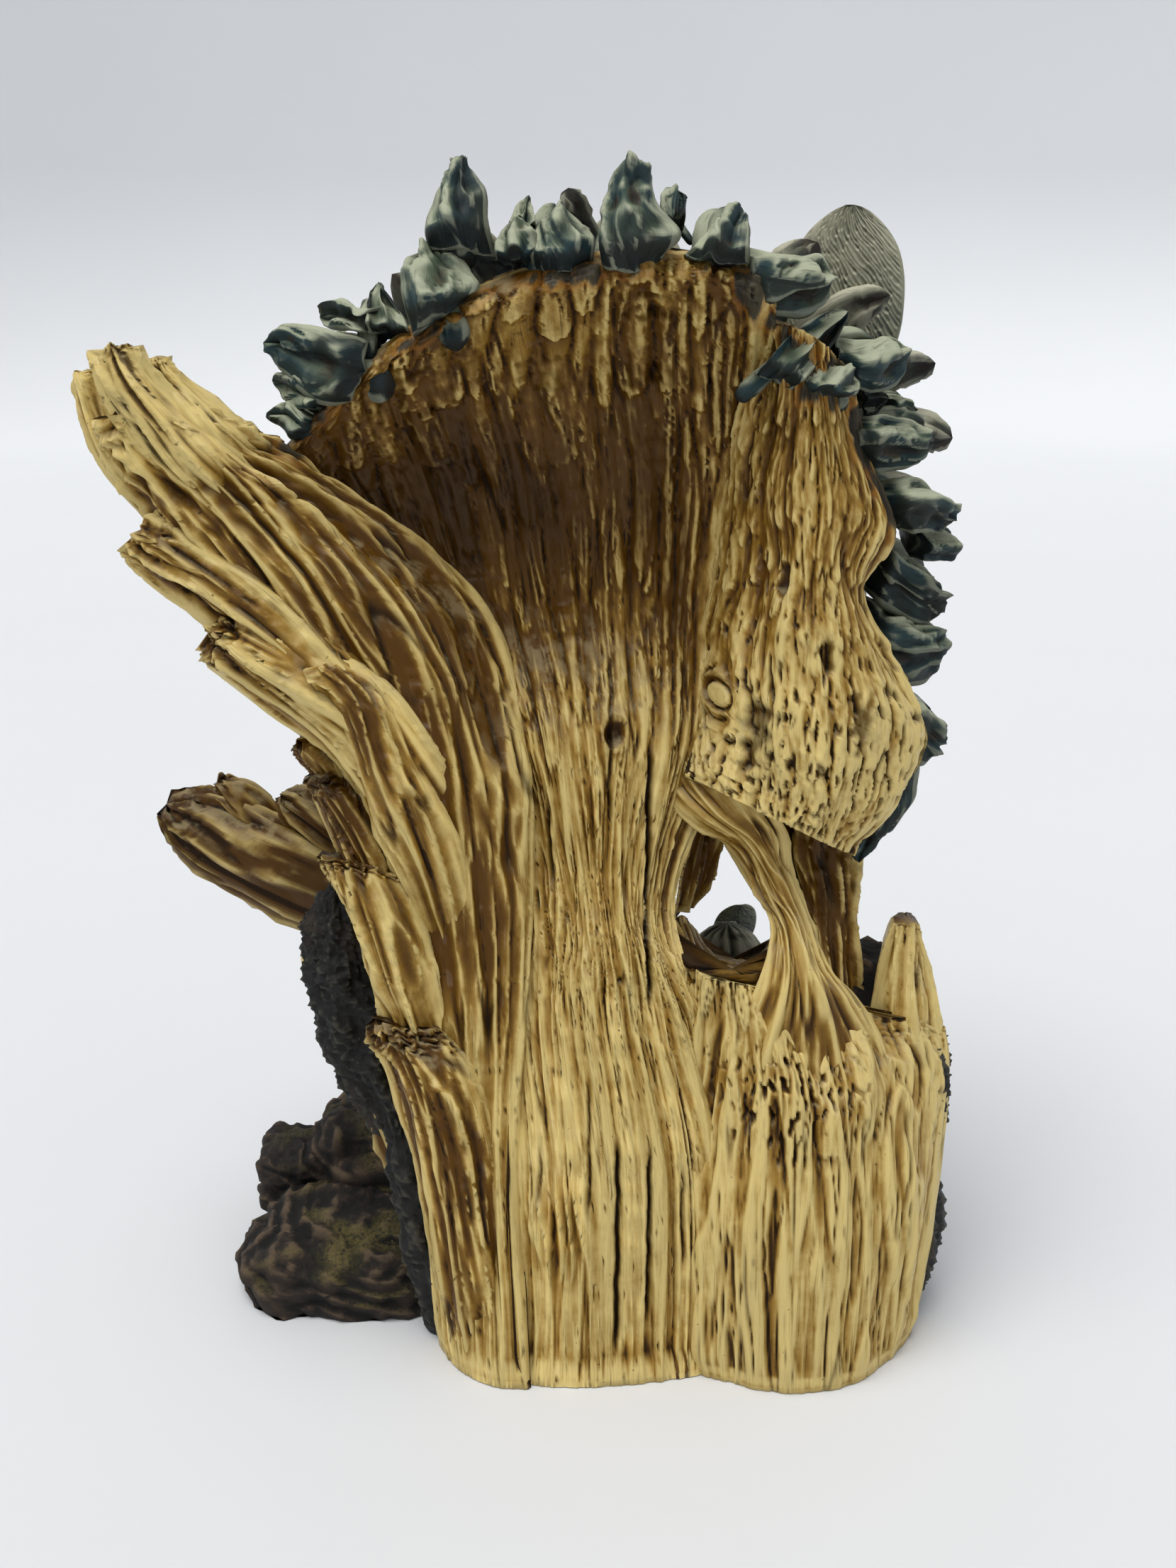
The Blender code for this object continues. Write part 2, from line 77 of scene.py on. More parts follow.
# The locks on the rim: how dark each is, how much painted shade darkens its right side, and its rows.
LOCK_ROWS = {
    "horizontal": (0.3, 0.0, [
        [(-100, -40, 363), (-102, -47, 354), (-106, -40, 343)],
        [(-115, -34, 367), (-115, -40, 357), (-118, -34, 344)],
        [(-127, -30, 368), (-126, -34, 362), (-129, -30, 354)],
        [(-133, -24, 364), (-134, -28, 362), (-134, -24, 359)],
    ]),
    "double_left": (0.1, 0.0, [
        [(-95, -35, 373), (-97, -32, 369), (-98, -35, 365)],
        [(-103, -28, 372), (-105, -26, 369), (-106, -28, 366)],
        [(-109, -20, 375), (-113, -18, 371), (-114, -20, 366)],
        [(-116, -13, 372), (-118, -11, 369), (-118, -13, 367)],
    ]),
    "double_right": (0.0, 0.2, [
        [(-100, -38, 365), (-94, -34, 364), (-86, -38, 364)],
        [(-100, -31, 371), (-95, -28, 370), (-88, -31, 369)],
        [(-100, -24, 377), (-97, -21, 375), (-92, -24, 374)],
        [(-100, -17, 379), (-98, -15, 380), (-96, -17, 379)],
    ]),
    "stub": (-0.2, 0.0, [
        [(-112, -36, 350), (-114, -40, 344), (-118, -36, 340)],
        [(-123, -30, 352), (-124, -34, 347), (-127, -30, 343)],
        [(-131, -25, 353), (-132, -27, 350), (-132, -25, 347)],
    ]),
    "hook": (0.1, 0.3, [
        [(-117, -38, 338), (-119, -42, 334), (-124, -38, 330)],
        [(-126, -32, 344), (-127, -36, 340), (-129, -32, 336)],
        [(-131, -27, 343), (-134, -29, 340), (-136, -27, 337)],
    ]),
    "swirl": (-0.1, 0.1, [
        [(-85, -41, 364), (-78, -49, 368), (-68, -41, 376)],
        [(-89, -35, 380), (-79, -42, 381), (-64, -35, 380)],
        [(-88, -28, 387), (-80, -34, 388), (-70, -28, 388)],
        [(-84, -22, 391), (-80, -26, 392), (-75, -22, 392)],
    ]),
    "tall_point": (0.1, 0.8, [
        [(-81, -34, 390), (-71, -41, 390), (-59, -34, 388)],
        [(-81, -28, 400), (-72, -35, 401), (-61, -28, 399)],
        [(-78, -23, 408), (-72, -28, 409), (-62, -23, 409)],
        [(-75, -18, 414), (-71, -22, 415), (-66, -18, 414)],
        [(-73, -12, 417), (-71, -16, 417), (-69, -12, 416)],
    ]),
    "thorn": (0.1, 0.2, [
        [(-56, -24, 397), (-51, -27, 397), (-46, -24, 397)],
        [(-54, -18, 402), (-50, -20, 402), (-47, -18, 402)],
        [(-51, -11, 406), (-49, -13, 407), (-48, -11, 406)],
    ]),
    "teal_lump": (0.0, 0.0, [
        [(-59, -34, 387), (-52, -39, 386), (-46, -34, 388)],
        [(-59, -29, 394), (-53, -33, 395), (-46, -29, 395)],
        [(-57, -24, 398), (-52, -26, 400), (-47, -24, 398)],
    ]),
    "second_point": (0.15, 0.1, [
        [(-48, -36, 385), (-38, -41, 383), (-28, -36, 385)],
        [(-48, -30, 394), (-38, -34, 394), (-28, -30, 394)],
        [(-45, -24, 398), (-39, -27, 399), (-31, -24, 398)],
        [(-40, -18, 403), (-38, -20, 404), (-36, -18, 402)],
    ]),
    "tall_block": (0.3, 0.1, [
        [(-25, -39, 386), (-17, -45, 383), (-6, -39, 388)],
        [(-25, -34, 397), (-19, -39, 396), (-1, -34, 396)],
        [(-25, -28, 406), (-18, -32, 406), (-9, -28, 406)],
        [(-23, -23, 414), (-16, -27, 414), (-10, -23, 413)],
        [(-20, -18, 418), (-17, -21, 418), (-14, -18, 418)],
    ]),
    "hollow_curl": (0.2, 0.3, [
        [(-6, -26, 396), (-2, -21, 395), (0, -26, 397)],
        [(-7, -20, 406), (-2, -16, 405), (1, -20, 406)],
        [(-5, -13, 409), (-2, -11, 409), (0, -13, 408)],
    ]),
    "white_face": (-0.6, 1.2, [
        [(0, -36, 389), (9, -43, 387), (21, -36, 386)],
        [(5, -30, 394), (11, -34, 395), (21, -30, 394)],
        [(10, -22, 398), (15, -27, 400), (21, -22, 400)],
        [(16, -16, 403), (18, -20, 404), (21, -16, 402)],
    ]),
    "broad": (-0.6, 0.9, [
        [(21, -30, 391), (21, -37, 382), (22, -30, 373)],
        [(35, -24, 389), (32, -30, 382), (29, -24, 370)],
        [(44, -19, 389), (43, -23, 381), (42, -19, 370)],
        [(49, -13, 385), (49, -17, 381), (48, -13, 376)],
    ]),
    "slant": (-0.1, 0.5, [
        [(24, -34, 352), (30, -30, 349), (36, -34, 347)],
        [(33, -28, 363), (38, -25, 357), (42, -28, 353)],
        [(44, -22, 370), (47, -19, 366), (49, -22, 360)],
        [(52, -16, 373), (55, -14, 371), (55, -16, 367)],
    ]),
    "club": (-0.5, 0.7, [
        [(52, -17, 363), (52, -24, 356), (54, -17, 350)],
        [(62, -11, 362), (62, -17, 354), (63, -11, 345)],
        [(71, -6, 363), (71, -10, 356), (73, -6, 346)],
        [(78, -1, 360), (78, -5, 358), (77, -1, 353)],
    ]),
    "shoulder": (-0.3, 0.2, [
        [(38, -28, 347), (44, -32, 344), (56, -28, 344)],
        [(45, -22, 356), (52, -26, 351), (59, -22, 348)],
        [(52, -17, 356), (55, -19, 353), (59, -17, 350)],
    ]),
    "dark_hollow": (0.9, 0.0, [
        [(59, -10, 346), (61, -6, 341), (61, -10, 337)],
        [(64, -6, 347), (66, -3, 342), (67, -6, 337)],
        [(71, -2, 344), (72, 0, 342), (70, -2, 339)],
    ]),
    "small_pale": (-0.6, 0.3, [
        [(70, 4, 342), (70, 1, 339), (71, 4, 336)],
        [(76, 8, 343), (78, 6, 340), (78, 8, 336)],
        [(82, 12, 340), (84, 10, 337), (82, 12, 335)],
    ]),
    "smooth": (0.1, 0.3, [
        [(59, -16, 337), (58, -22, 328), (62, -16, 316)],
        [(70, -11, 338), (70, -16, 330), (72, -11, 319)],
        [(80, -7, 335), (81, -11, 328), (80, -7, 320)],
        [(87, -2, 332), (87, -5, 328), (88, -2, 324)],
    ]),
    "banded": (-0.2, 0.9, [
        [(69, -14, 314), (70, -20, 307), (77, -14, 298)],
        [(81, -9, 317), (81, -14, 309), (84, -9, 298)],
        [(90, -3, 310), (91, -7, 305), (92, -3, 296)],
        [(97, 2, 303), (97, -1, 301), (96, 2, 297)],
    ]),
    "last": (0.2, 0.4, [
        [(83, 0, 294), (83, -4, 291), (84, 0, 285)],
        [(93, 5, 295), (93, 2, 290), (93, 5, 285)],
        [(100, 10, 293), (101, 8, 288), (100, 10, 284)],
    ]),
    "cheek_high": (0.4, 0.2, [
        [(60, 0, 300), (68, -8, 292), (66, -4, 276)],
        [(74, 4, 290), (80, -4, 282), (76, 0, 268)],
        [(88, 8, 284), (92, 2, 274), (88, 4, 262)],
        [(95, 12, 278), (97, 8, 270), (95, 10, 262)],
    ]),
    "cheek": (0.3, 0.3, [
        [(62, 0, 274), (66, -10, 262), (64, -6, 246)],
        [(76, 4, 270), (82, -5, 258), (78, -2, 242)],
        [(88, 9, 266), (94, 2, 256), (91, 5, 240)],
        [(95, 13, 262), (98, 9, 254), (95, 11, 244)],
    ]),
    "jaw": (0.3, 0.2, [
        [(66, -4, 250), (74, -14, 240), (72, -10, 226)],
        [(78, -4, 244), (86, -12, 234), (82, -8, 218)],
        [(90, -2, 236), (95, -8, 226), (90, -4, 212)],
        [(94, 2, 228), (96, -2, 222), (93, 0, 216)],
    ]),
    "throat": (0.5, 0.2, [
        [(60, -12, 224), (72, -20, 222), (86, -12, 226)],
        [(62, -10, 206), (73, -19, 204), (88, -10, 208)],
        [(62, -12, 192), (71, -19, 190), (83, -12, 196)],
        [(62, -14, 182), (67, -19, 181), (73, -14, 188)],
    ]),
}
KNOTS = [(-21, 231, 4.4, -1.6)]  # across, height, radius, and how far its middle is raised
LONG_CRACKS = [  # across, from one height to another, and how deep
    (-19.5, 8, 98, 2.6),
    (-8, 20, 96, 2.2),
    (-8, 136, 232, 2.8),
    (-45, 172, 214, 1.6),
    (-48, 62, 96, 1.4),
    (-30, 60, 120, 1.2),
    (5, 40, 86, 1.3),
    (-22, 196, 262, 1.5),
]


def rise(value, low, high):
    """A smooth step from 0 at low to 1 at high."""
    t = np.clip((value - low) / (high - low), 0, 1)
    return t * t * (3 - 2 * t)


def wander(u, v, seed):
    """A smooth random value from -1 to 1, with about one hill to each unit of u and v."""
    period = 64
    heading = np.random.default_rng(seed).uniform(0, 2 * math.pi, (period, period))
    east, north = np.cos(heading), np.sin(heading)
    i, j = np.floor(u).astype(int), np.floor(v).astype(int)
    s, t = u - i, v - j
    near_s, near_t = s**3 * (s * (6 * s - 15) + 10), t**3 * (t * (6 * t - 15) + 10)
    value = np.zeros(s.shape)
    for right in (0, 1):
        for up in (0, 1):
            corner = (i + right) % period, (j + up) % period
            share = (near_s if right else 1 - near_s) * (near_t if up else 1 - near_t)
            value += share * (east[corner] * (s - right) + north[corner] * (t - up))
    return 1.5 * value


def furrows(u, v, seed, width, length):
    """Long rounded backs of about that width and length with narrow valleys between, from 0 up to 1."""
    return 1 - np.exp(-np.abs(wander(u / width, v / length, seed)) / 0.22)


def broken_furrows(u, v, seed, width, length):
    """Furrows whose valleys fade out and begin again."""
    there = rise(wander(u / (1.6 * width), v / (0.6 * length), seed + 1000), -0.35, 0.3)
    return 1 - (1 - furrows(u, v, seed, width, length)) * there


def crests(u, v, seed, width, length):
    """Sharp ridges of about that spacing and length with wide hollow flutes between, from 0 up to 1."""
    return np.exp(-np.abs(wander(u / width, v / length, seed)) / 0.26)


def splits(u, v, seed, width, length):
    """Thin splits along the grain that open and close, from 0 up to 1 in their middles."""
    there = rise(wander(u / (2 * width), v / (0.5 * length), seed + 1000), 0.0, 0.3)
    return there * np.exp(-((wander(u / width, v / length, seed) / 0.06) ** 2))


def layers(u, v, seed, width, length, count):
    """Thin layers split away one below the other, with steep edges along the grain."""
    place = count * (0.5 + 0.5 * wander(u / width, v / length, seed))
    whole = np.floor(place)
    return whole + rise(place - whole, 0.78, 1.0)


def fingers(u, v, seed, width, length):
    """Rounded lengths that overlap like shingles, each proud at its lower end: their height, and their numbers."""
    rng = np.random.default_rng(seed)
    shift, size = rng.uniform(0, 7, 256), rng.uniform(0.6, 1.7, 256)
    numbers = rng.uniform(-1, 1, (256, 64))
    place = u / width + 0.5 * wander(u / (2.3 * width), v / (1.7 * length), seed + 1)
    column = np.floor(place)
    side = 2 * (place - column) - 1
    column = column.astype(int) % 256
    along = v / (length * size[column]) + shift[column] - 0.12 * side**2 + 0.05 * wander(u / 2, v / 9, seed + 2)
    row = np.floor(along)
    number = numbers[column, row.astype(int) % 64]
    along -= row
    lip = rise(along, 0, 0.06) * (1 - along) ** 1.2
    return np.sqrt(1 - np.abs(side) ** 2.5) * (0.4 + (0.3 + 0.3 * number) * lip), number


def spline(points, shares):
    """Points at the given shares of a smooth curve that passes through every one of points."""
    points = np.asarray(points, float)
    padded = np.concatenate([[2 * points[0] - points[1]], points, [2 * points[-1] - points[-2]]])
    place = np.clip(shares, 0, 1) * (len(points) - 1)
    first = np.minimum(place.astype(int), len(points) - 2)
    t = (place - first)[..., None]
    p0, p1, p2, p3 = (padded[first + k] for k in range(4))
    return p1 + 0.5 * t * (p2 - p0 + t * (2 * p0 - 5 * p1 + 4 * p2 - p3 + t * (3 * (p1 - p2) + p3 - p0)))


def mean_near(field, reach, axis):
    """The mean of each point and those up to reach steps either side of it. Axis 1 runs round and closes."""
    if axis == 1:
        padded = np.concatenate([field[:, -reach:], field, field[:, :reach]], axis=1)
    else:
        padded = np.concatenate([field[:1].repeat(reach, 0), field, field[-1:].repeat(reach, 0)])
    total = np.cumsum(padded, axis=axis)
    total = np.insert(total, 0, 0, axis=axis)
    width = 2 * reach + 1
    if axis == 1:
        return (total[:, width:] - total[:, :-width]) / width
    return (total[width:] - total[:-width]) / width


def outward(at):
    """The outward direction at each point of a form's rows."""
    round_it = np.roll(at, -1, 1) - np.roll(at, 1, 1)
    along = np.gradient(at, axis=0)
    normal = np.cross(round_it, along)
    return normal / (np.linalg.norm(normal, axis=2)[..., None] + 1e-9)


def bulk(at):
    """Six times the volume inside a form, which is negative where its turns run the other way round."""
    beside = np.roll(at, -1, 1)
    first = np.cross(at[:-1], beside[:-1]) * beside[1:]
    return (first + np.cross(at[:-1], beside[1:]) * at[1:]).sum()


class Piece:
    """A piece that is built up from closed forms. Each form is a ball whose points are moved to their places,
    given as rows from its foot to its end, with values for the paint at every point."""

    def __init__(self, name):
        self.name = name
        self.bm = bmesh.new()
        self.points = []
        self.values = {}

    def add(self, at, grain, **values):
        """Adds a form: its places in millimetres and its grain, across and along, for each row and turn."""
        at = at.copy()
        at[..., 2] = np.maximum(at[..., 2], 0)
        at[0], at[-1] = at[0].mean(axis=0), at[-1].mean(axis=0)
        if bulk(at) < 0:
            at, grain = at[:, ::-1], grain[:, ::-1]
            values = {key: np.broadcast_to(value, at.shape[:2])[:, ::-1] for key, value in values.items()}
        normal = outward(at)
        fine = mean_near(mean_near(at, 2, 1), 1, 0)
        broad = mean_near(mean_near(at, 9, 1), 4, 0)
        crease, hollow = ((fine - at) * normal).sum(axis=2), ((broad - at) * normal).sum(axis=2)
        hollow = np.clip(hollow - np.median(hollow), -1.0, 4.0)
        found = {"grain": grain, "crease": crease - np.median(crease), "hollow": hollow, "sky": normal[..., 2]}
        found.update(values)
        rows, turns = at.shape[0] - 1, at.shape[1]
        ball = bmesh.new()
        bmesh.ops.create_uvsphere(ball, u_segments=turns, v_segments=rows, radius=1.0)
        form = bpy.data.meshes.new("form")
        ball.to_mesh(form)
        ball.free()
        raw = np.empty(len(form.vertices) * 3, np.float32)
        form.vertices.foreach_get("co", raw)
        raw = raw.reshape(-1, 3)
        turn = np.rint(np.arctan2(raw[:, 1], raw[:, 0]) / (2 * math.pi) * turns).astype(int) % turns
        row = np.rint(np.arccos(np.clip(-raw[:, 2], -1, 1)) / math.pi * rows).astype(int)
        self.bm.from_mesh(form)
        bpy.data.meshes.remove(form)
        self.points.append(at[row, turn])
        for key in ("grain", "crease", "hollow", "sky", "tone", "paint", "split"):
            value = found.get(key, 0.0)
            if key != "grain":
                value = np.broadcast_to(value, at.shape[:2])
            self.values.setdefault(key, []).append(value[row, turn])

    def finish(self, material, slot):
        """Makes the piece's mesh and object with its finish, hangs it on the root body and hides the cast part that
        it stands in for. The slot is not used.
        """
        mesh = bpy.data.meshes.new(self.name)
        self.bm.to_mesh(mesh)
        self.bm.free()
        mesh.vertices.foreach_set("co", (np.concatenate(self.points) * MM).astype(np.float32).ravel())
        for key, parts in self.values.items():
            kind, field = ("FLOAT_VECTOR", "vector") if key == "grain" else ("FLOAT", "value")
            data = mesh.attributes.new(key, kind, "POINT").data
            data.foreach_set(field, np.concatenate(parts).astype(np.float32).ravel())
        mesh.update()
        mesh.shade_smooth()
        mesh.materials.append(material)
        piece = bpy.data.objects.new(self.name, mesh)
        bpy.context.scene.collection.objects.link(piece)
        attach(piece, "root")
        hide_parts("wolf_family_casting")
        return piece


def sheet(rows, thick_foot, thick_end, grid, inward=(0, 1, 0), ragged=0.0, blunt=0.0, full=2.0):
    """A slab of wood that follows its rows and is thickened inward, its end broken off raggedly: its points, the
    shares across and along it, whether it is on the hidden side, and its grain in millimetres across and along."""
    rows = np.array(rows, float)
    width = np.linalg.norm(rows[:, 2] - rows[:, 0], axis=1).mean()
    length = np.linalg.norm(np.diff(rows[:, 1], axis=0), axis=1).sum()
    seen, hidden, count = grid
    k = np.arange(seen + hidden)
    behind = k > seen
    across = np.where(behind, 1 - (k - seen) / hidden, k / seen)
    share = np.clip((np.arange(count + 1) - 1) / (count - 2), 0, 1)
    across, share = np.meshgrid(across, share)
    behind = np.broadcast_to(behind, across.shape)
    u, v = across * width * 1.1, share * length
    torn = ragged / length * (0.5 + 0.8 * wander(u / 3.6, 0 * u + rows[0, 0, 0], 6)) * rise(share, 0.5, 1.0)
    left, middle, right = (spline(rows[:, side], share - torn) for side in range(3))
    bend = 1 - np.abs(2 * across - 1) ** full
    face = left + (right - left) * across[..., None] + (middle - (left + right) / 2) * bend[..., None]
    thickness = thick_foot + (thick_end - thick_foot) * share
    if blunt:
        swell = np.sqrt(1 - share**blunt)
        face = middle + (face - middle) * swell[..., None]
        thickness = thickness * swell
    depth = behind * thickness * np.sqrt(1 - np.abs(2 * across - 1) ** 3)
    return face + depth[..., None] * np.array(inward), across, share, behind, u, v


def grain_of(u, v, number):
    """Each point's place across and along the grain. The number keeps the painted grain of two forms apart."""
    return np.stack([u, v, np.full(u.shape, float(number))], axis=2)


def carve(
    piece, rows, thick, grid, relief_of, number,
    dark=0.0, ragged=0.0, crumble=0.0, inward=(0, 1, 0), sink=0.0, full=2.0, edge=0.0,
):
    """Adds a slab to a piece, with its relief carved into the seen side, its end crumbled and its edges dipped."""
    face, across, share, behind, u, v = sheet(rows, *thick, grid, inward, ragged, full=full)
    u, relief, tone, split = relief_of(u, v, face[..., 0], face[..., 2])
    ending = crumble * rise(share + 0.06 * wander(u / 4, v / 6, 65), 0.8, 0.95)
    dug = np.minimum(1, ending) * rise(wander(u / 2.8, v / 3.6, 66), 0.0, 0.45)
    relief = relief + ending * (1.5 * wander(u / 3, v / 4, 67) + 0.7 * wander(u / 1.5, v / 2, 68)) - 2.6 * dug
    inside = np.minimum(1, 20 * across * (1 - across) + 0.2)
    relief = (edge + (relief - edge) * inside) * (0.25 + 0.75 * rise(face[..., 2], 0, 12))
    dark = dark * rise(share, 0.0, 0.4) + 0.9 * rise(face[..., 2], 5, 0) + 0.8 * behind
    face += outward(face) * np.where(behind, 0.6 * relief, relief)[..., None]
    face += (sink * rise(share, 0.3, 0.0))[..., None] * np.array(inward)
    tone, split = tone + dark + 0.3 * ending, np.maximum(split, 0.7 * dug)
    piece.add(face, grain_of(u, v, number), tone=tone, paint=rim_paint(face), split=split)


def bend_round_knots(u, x, z, knots):
    """Pushes the grain aside where it flows round a knot."""
    for across, height, radius, _raised in knots:
        dx, dz = x - across, (z - height) / 2.2
        away = np.hypot(dx, dz) + 1e-3
        u = u - dx / away * radius * 0.9 * np.exp(-((away / (1.7 * radius)) ** 2))
    return u


def knot_relief(x, z, knots):
    """A ring of swollen wood round each knot with its middle raised or sunk, and how much browner it is there."""
    height, stain = np.zeros(x.shape), np.zeros(x.shape)
    for across, up, radius, raised in knots:
        away = np.hypot(x - across, (z - up) / 1.15)
        ring = np.exp(-(((away - radius) / (0.28 * radius)) ** 2))
        core = rise(away, 0.8 * radius, 0.5 * radius)
        rings = 0.12 * np.sin(away * 5.0) * rise(away, 2.2 * radius, radius)
        height += 1.6 * ring + raised * 1.6 * core - 1.3 * np.exp(-(((away - 0.74 * radius) / 0.6) ** 2)) + rings
        stain += (0.2 - 1.2 * raised) * core + 0.6 * ring
    return height, stain


def long_cracks(x, z, lines):
    """How deep the splits that run far along the trunk are at each point, from 0 outside them."""
    depth = np.zeros(x.shape)
    for number, (across, low, high, deep) in enumerate(lines):
        middle = across + 0.9 * wander(z / 19.0, 0 * z + number, 41) + 0.4 * wander(z / 6.0, 0 * z + number, 42)
        ends = rise(z, low, low + 12) * rise(z, high, high - 14)
        depth = np.maximum(depth, deep * ends * np.exp(-(((x - middle) / (0.55 + 0.12 * deep)) ** 2)))
    return depth


def rim_paint(at):
    """How much of the locks' blue-grey paint has been feathered on to the wood at each point."""
    near = np.full(at.shape[:2], 99.0)
    for _tone, _shaded_side, rows in LOCK_ROWS.values():
        for row in rows[:2]:
            foot, run = np.array(row[0], float), np.array(row[2], float) - row[0]
            share = np.clip(((at - foot) @ run) / (run @ run), 0, 1)
            near = np.minimum(near, np.linalg.norm(at - foot - share[..., None] * run, axis=2))
    return rise(near + 2.5 * wander(at[..., 0] / 4, at[..., 2] / 9, 9), 8.0, 2.0)


class Value:
    """One value of a material. Sums and products of it become nodes of that material."""

    def __init__(self, tree, socket):
        self.tree = tree
        self.socket = socket

    def math(self, operation, first, second):
        node = self.tree.nodes.new("ShaderNodeMath")
        node.operation = operation
        for socket, value in zip(node.inputs, (first, second)):
            if isinstance(value, Value):
                self.tree.links.new(value.socket, socket)
            else:
                socket.default_value = value
        return Value(self.tree, node.outputs[0])

    def __add__(self, other):
        return self.math("ADD", self, other)

    def __sub__(self, other):
        return self.math("SUBTRACT", self, other)

    def __mul__(self, other):
        return self.math("MULTIPLY", self, other)

    def __rsub__(self, other):
        return self.math("SUBTRACT", other, self)

    __radd__ = __add__
    __rmul__ = __mul__


class Finish:
    """A painted finish: its material, and the nodes that vary it over the surface."""

    def __init__(self, name, roughness=0.6, specular=0.5):
        self.material = bpy.data.materials.new(name)
        self.material.use_nodes = True
        self.tree = self.material.node_tree
        self.shader = self.tree.nodes["Principled BSDF"]
        self.shader.inputs["Roughness"].default_value = roughness
        self.shader.inputs["Specular IOR Level"].default_value = specular
        self.place = self.node("ShaderNodeTexCoord", {}, {}, "Object")

    def node(self, kind, settings, sockets, output=0):
        node = self.tree.nodes.new(kind)
        for key, value in settings.items():
            setattr(node, key, value)
        for key, value in sockets.items():
            if isinstance(value, Value):
                self.tree.links.new(value.socket, node.inputs[key])
            else:
                node.inputs[key].default_value = value
        return Value(self.tree, node.outputs[output])

    def attribute(self, name, output="Fac"):
        return self.node("ShaderNodeAttribute", {"attribute_name": name}, {}, output)

    def stretch(self, vector, by):
        return self.node("ShaderNodeVectorMath", {"operation": "MULTIPLY"}, {0: vector, 1: by})

    def cloud(self, vector, scale, detail=3.0, roughness=0.55):
        sockets = {"Vector": vector, "Scale": scale, "Detail": detail, "Roughness": roughness}
        return self.node("ShaderNodeTexNoise", {}, sockets)

    def step(self, value, low, high):
        settings = {"interpolation_type": "SMOOTHSTEP"}
        return self.node("ShaderNodeMapRange", settings, {"Value": value, "From Min": low, "From Max": high})

    def mix(self, first, second, share):
        return self.node("ShaderNodeMix", {"data_type": "RGBA"}, {0: share, 6: first, 7: second}, 2)

    def coats(self, body, *coats):
        """Brushes one colour after another over the body, each as thickly as its share."""
        for colour, share in coats:
            body = self.mix(body, colour, share)
        return body

    def feed(self, socket, value):
        self.tree.links.new(value.socket, self.shader.inputs[socket])

    def bump(self, height, distance, strength=1.0):
        sockets = {"Height": height, "Distance": distance, "Strength": strength}
        self.feed("Normal", self.node("ShaderNodeBump", {}, sockets))


def paint(red, green, blue):
    """A paint's colour, from its red, green and blue out of 255 as the eye sees them."""
    channels = [c / 255 for c in (red, green, blue)]
    linear = [c / 12.92 if c < 0.04045 else ((c + 0.055) / 1.055) ** 2.4 for c in channels]
    return (*linear, 1.0)


STRAW, HONEY, UMBER, WASH_AND_SHADE = paint(217, 194, 126), paint(156, 120, 48), paint(88, 57, 10), paint(28, 15, 2)
DUST, RIM_BLUE, AMBER = paint(196, 180, 138), paint(34, 42, 40), paint(150, 98, 34)


def wood_finish(name):
    """Straw and honey wood: streaked along its grain, washed brown and darkened with painted shade in its
    hollows and creases, wiped back to pale straw with a painted highlight on its high places, and dusty on top.
    """
    wood = Finish(name, specular=0.2)
    grain = wood.attribute("grain", "Vector")
    lines = wood.cloud(wood.stretch(grain, (1.1, 0.06, 1.0)), 1.0, 5.0, 0.65)
    bands = wood.cloud(wood.stretch(grain, (0.14, 0.015, 1.0)), 1.0, 3.0)
    threads = wood.cloud(wood.stretch(grain, (2.6, 0.05, 1.0)), 1.0, 3.0)
    mottle = wood.cloud(wood.place, 0.12 / MM, 4.0, 0.6)
    specks = wood.cloud(wood.place, 0.55 / MM, 2.0)
    crease, hollow, tone = wood.attribute("crease"), wood.attribute("hollow"), wood.attribute("tone")
    # sunk is how far a point lies in a crease or hollow; the honey, umber and wash coats laid by it are brown wash
    # with painted shade.
    sunk = 0.5 * hollow + 0.5 * crease
    depth = sunk + 1.0 * tone + 0.5 * (bands - 0.5) + 1.2 * (mottle - 0.5)
    wiped_and_highlit = wood.step(0 - crease - 0.25 * hollow + 0.1 * (lines - 0.5), 0.08, 0.45)
    dusty = wood.step(wood.attribute("sky"), 0.2, 0.8) * wood.step(mottle, 0.42, 0.6)
    rim = wood.attribute("paint")
    body = wood.coats(
        STRAW,
        (HONEY, wood.step(depth, -0.55, 0.6)),
        (HONEY, 0.4 * wood.step(lines, 0.48, 0.66)),
        # umber in the hollows and where the tone is high: brown wash with painted shade
        (UMBER, wood.step(sunk + 1.4 * tone + 0.7 * (mottle - 0.5), 0.2, 1.2)),
        # pale straw wiped on to the high wood, partly a painted highlight
        (STRAW, (0.7 - 0.6 * tone) * wiped_and_highlit),
        # wash with painted shade in the creases
        (WASH_AND_SHADE, 0.85 * wood.step(crease + 0.35 * hollow + 0.25 * (mottle - 0.5), 0.4, 1.2)),
        # wash with painted shade where the tone is highest, as in the bowl under the rim
        (WASH_AND_SHADE, 0.65 * wood.step(tone, 0.7, 1.5)),
        (UMBER, 0.35 * wood.step(lines, 0.62, 0.74)),
        (WASH_AND_SHADE, (0.38 + 0.25 * tone) * wood.step(threads + 0.5 * (bands - 0.5), 0.6, 0.72)),
        # near black in the cracks, pits and pockets: wash and painted shade
        (WASH_AND_SHADE, 0.85 * wood.attribute("split")),
        (WASH_AND_SHADE, 0.75 * wood.step(specks, 0.73, 0.76)),
        (DUST, 0.4 * dusty),
        (AMBER, 0.5 * wood.step(rim + 0.4 * (bands - 0.5), 0.0, 0.4)),
        (RIM_BLUE, 0.9 * wood.step(rim + 1.4 * (bands - 0.5) + 0.8 * (lines - 0.5), 0.4, 0.9)),
    )
    wood.feed("Base Color", body)
    wood.feed("Roughness", 0.36 + 0.3 * wood.step(crease, 0.0, 0.3) + 0.25 * dusty + 0.2 * (mottle - 0.5))
    wood.bump(0.6 * lines + 0.3 * mottle - 0.4 * threads, 0.35 * MM, 0.8)
    return wood.material


driftwood = wood_finish("driftwood")


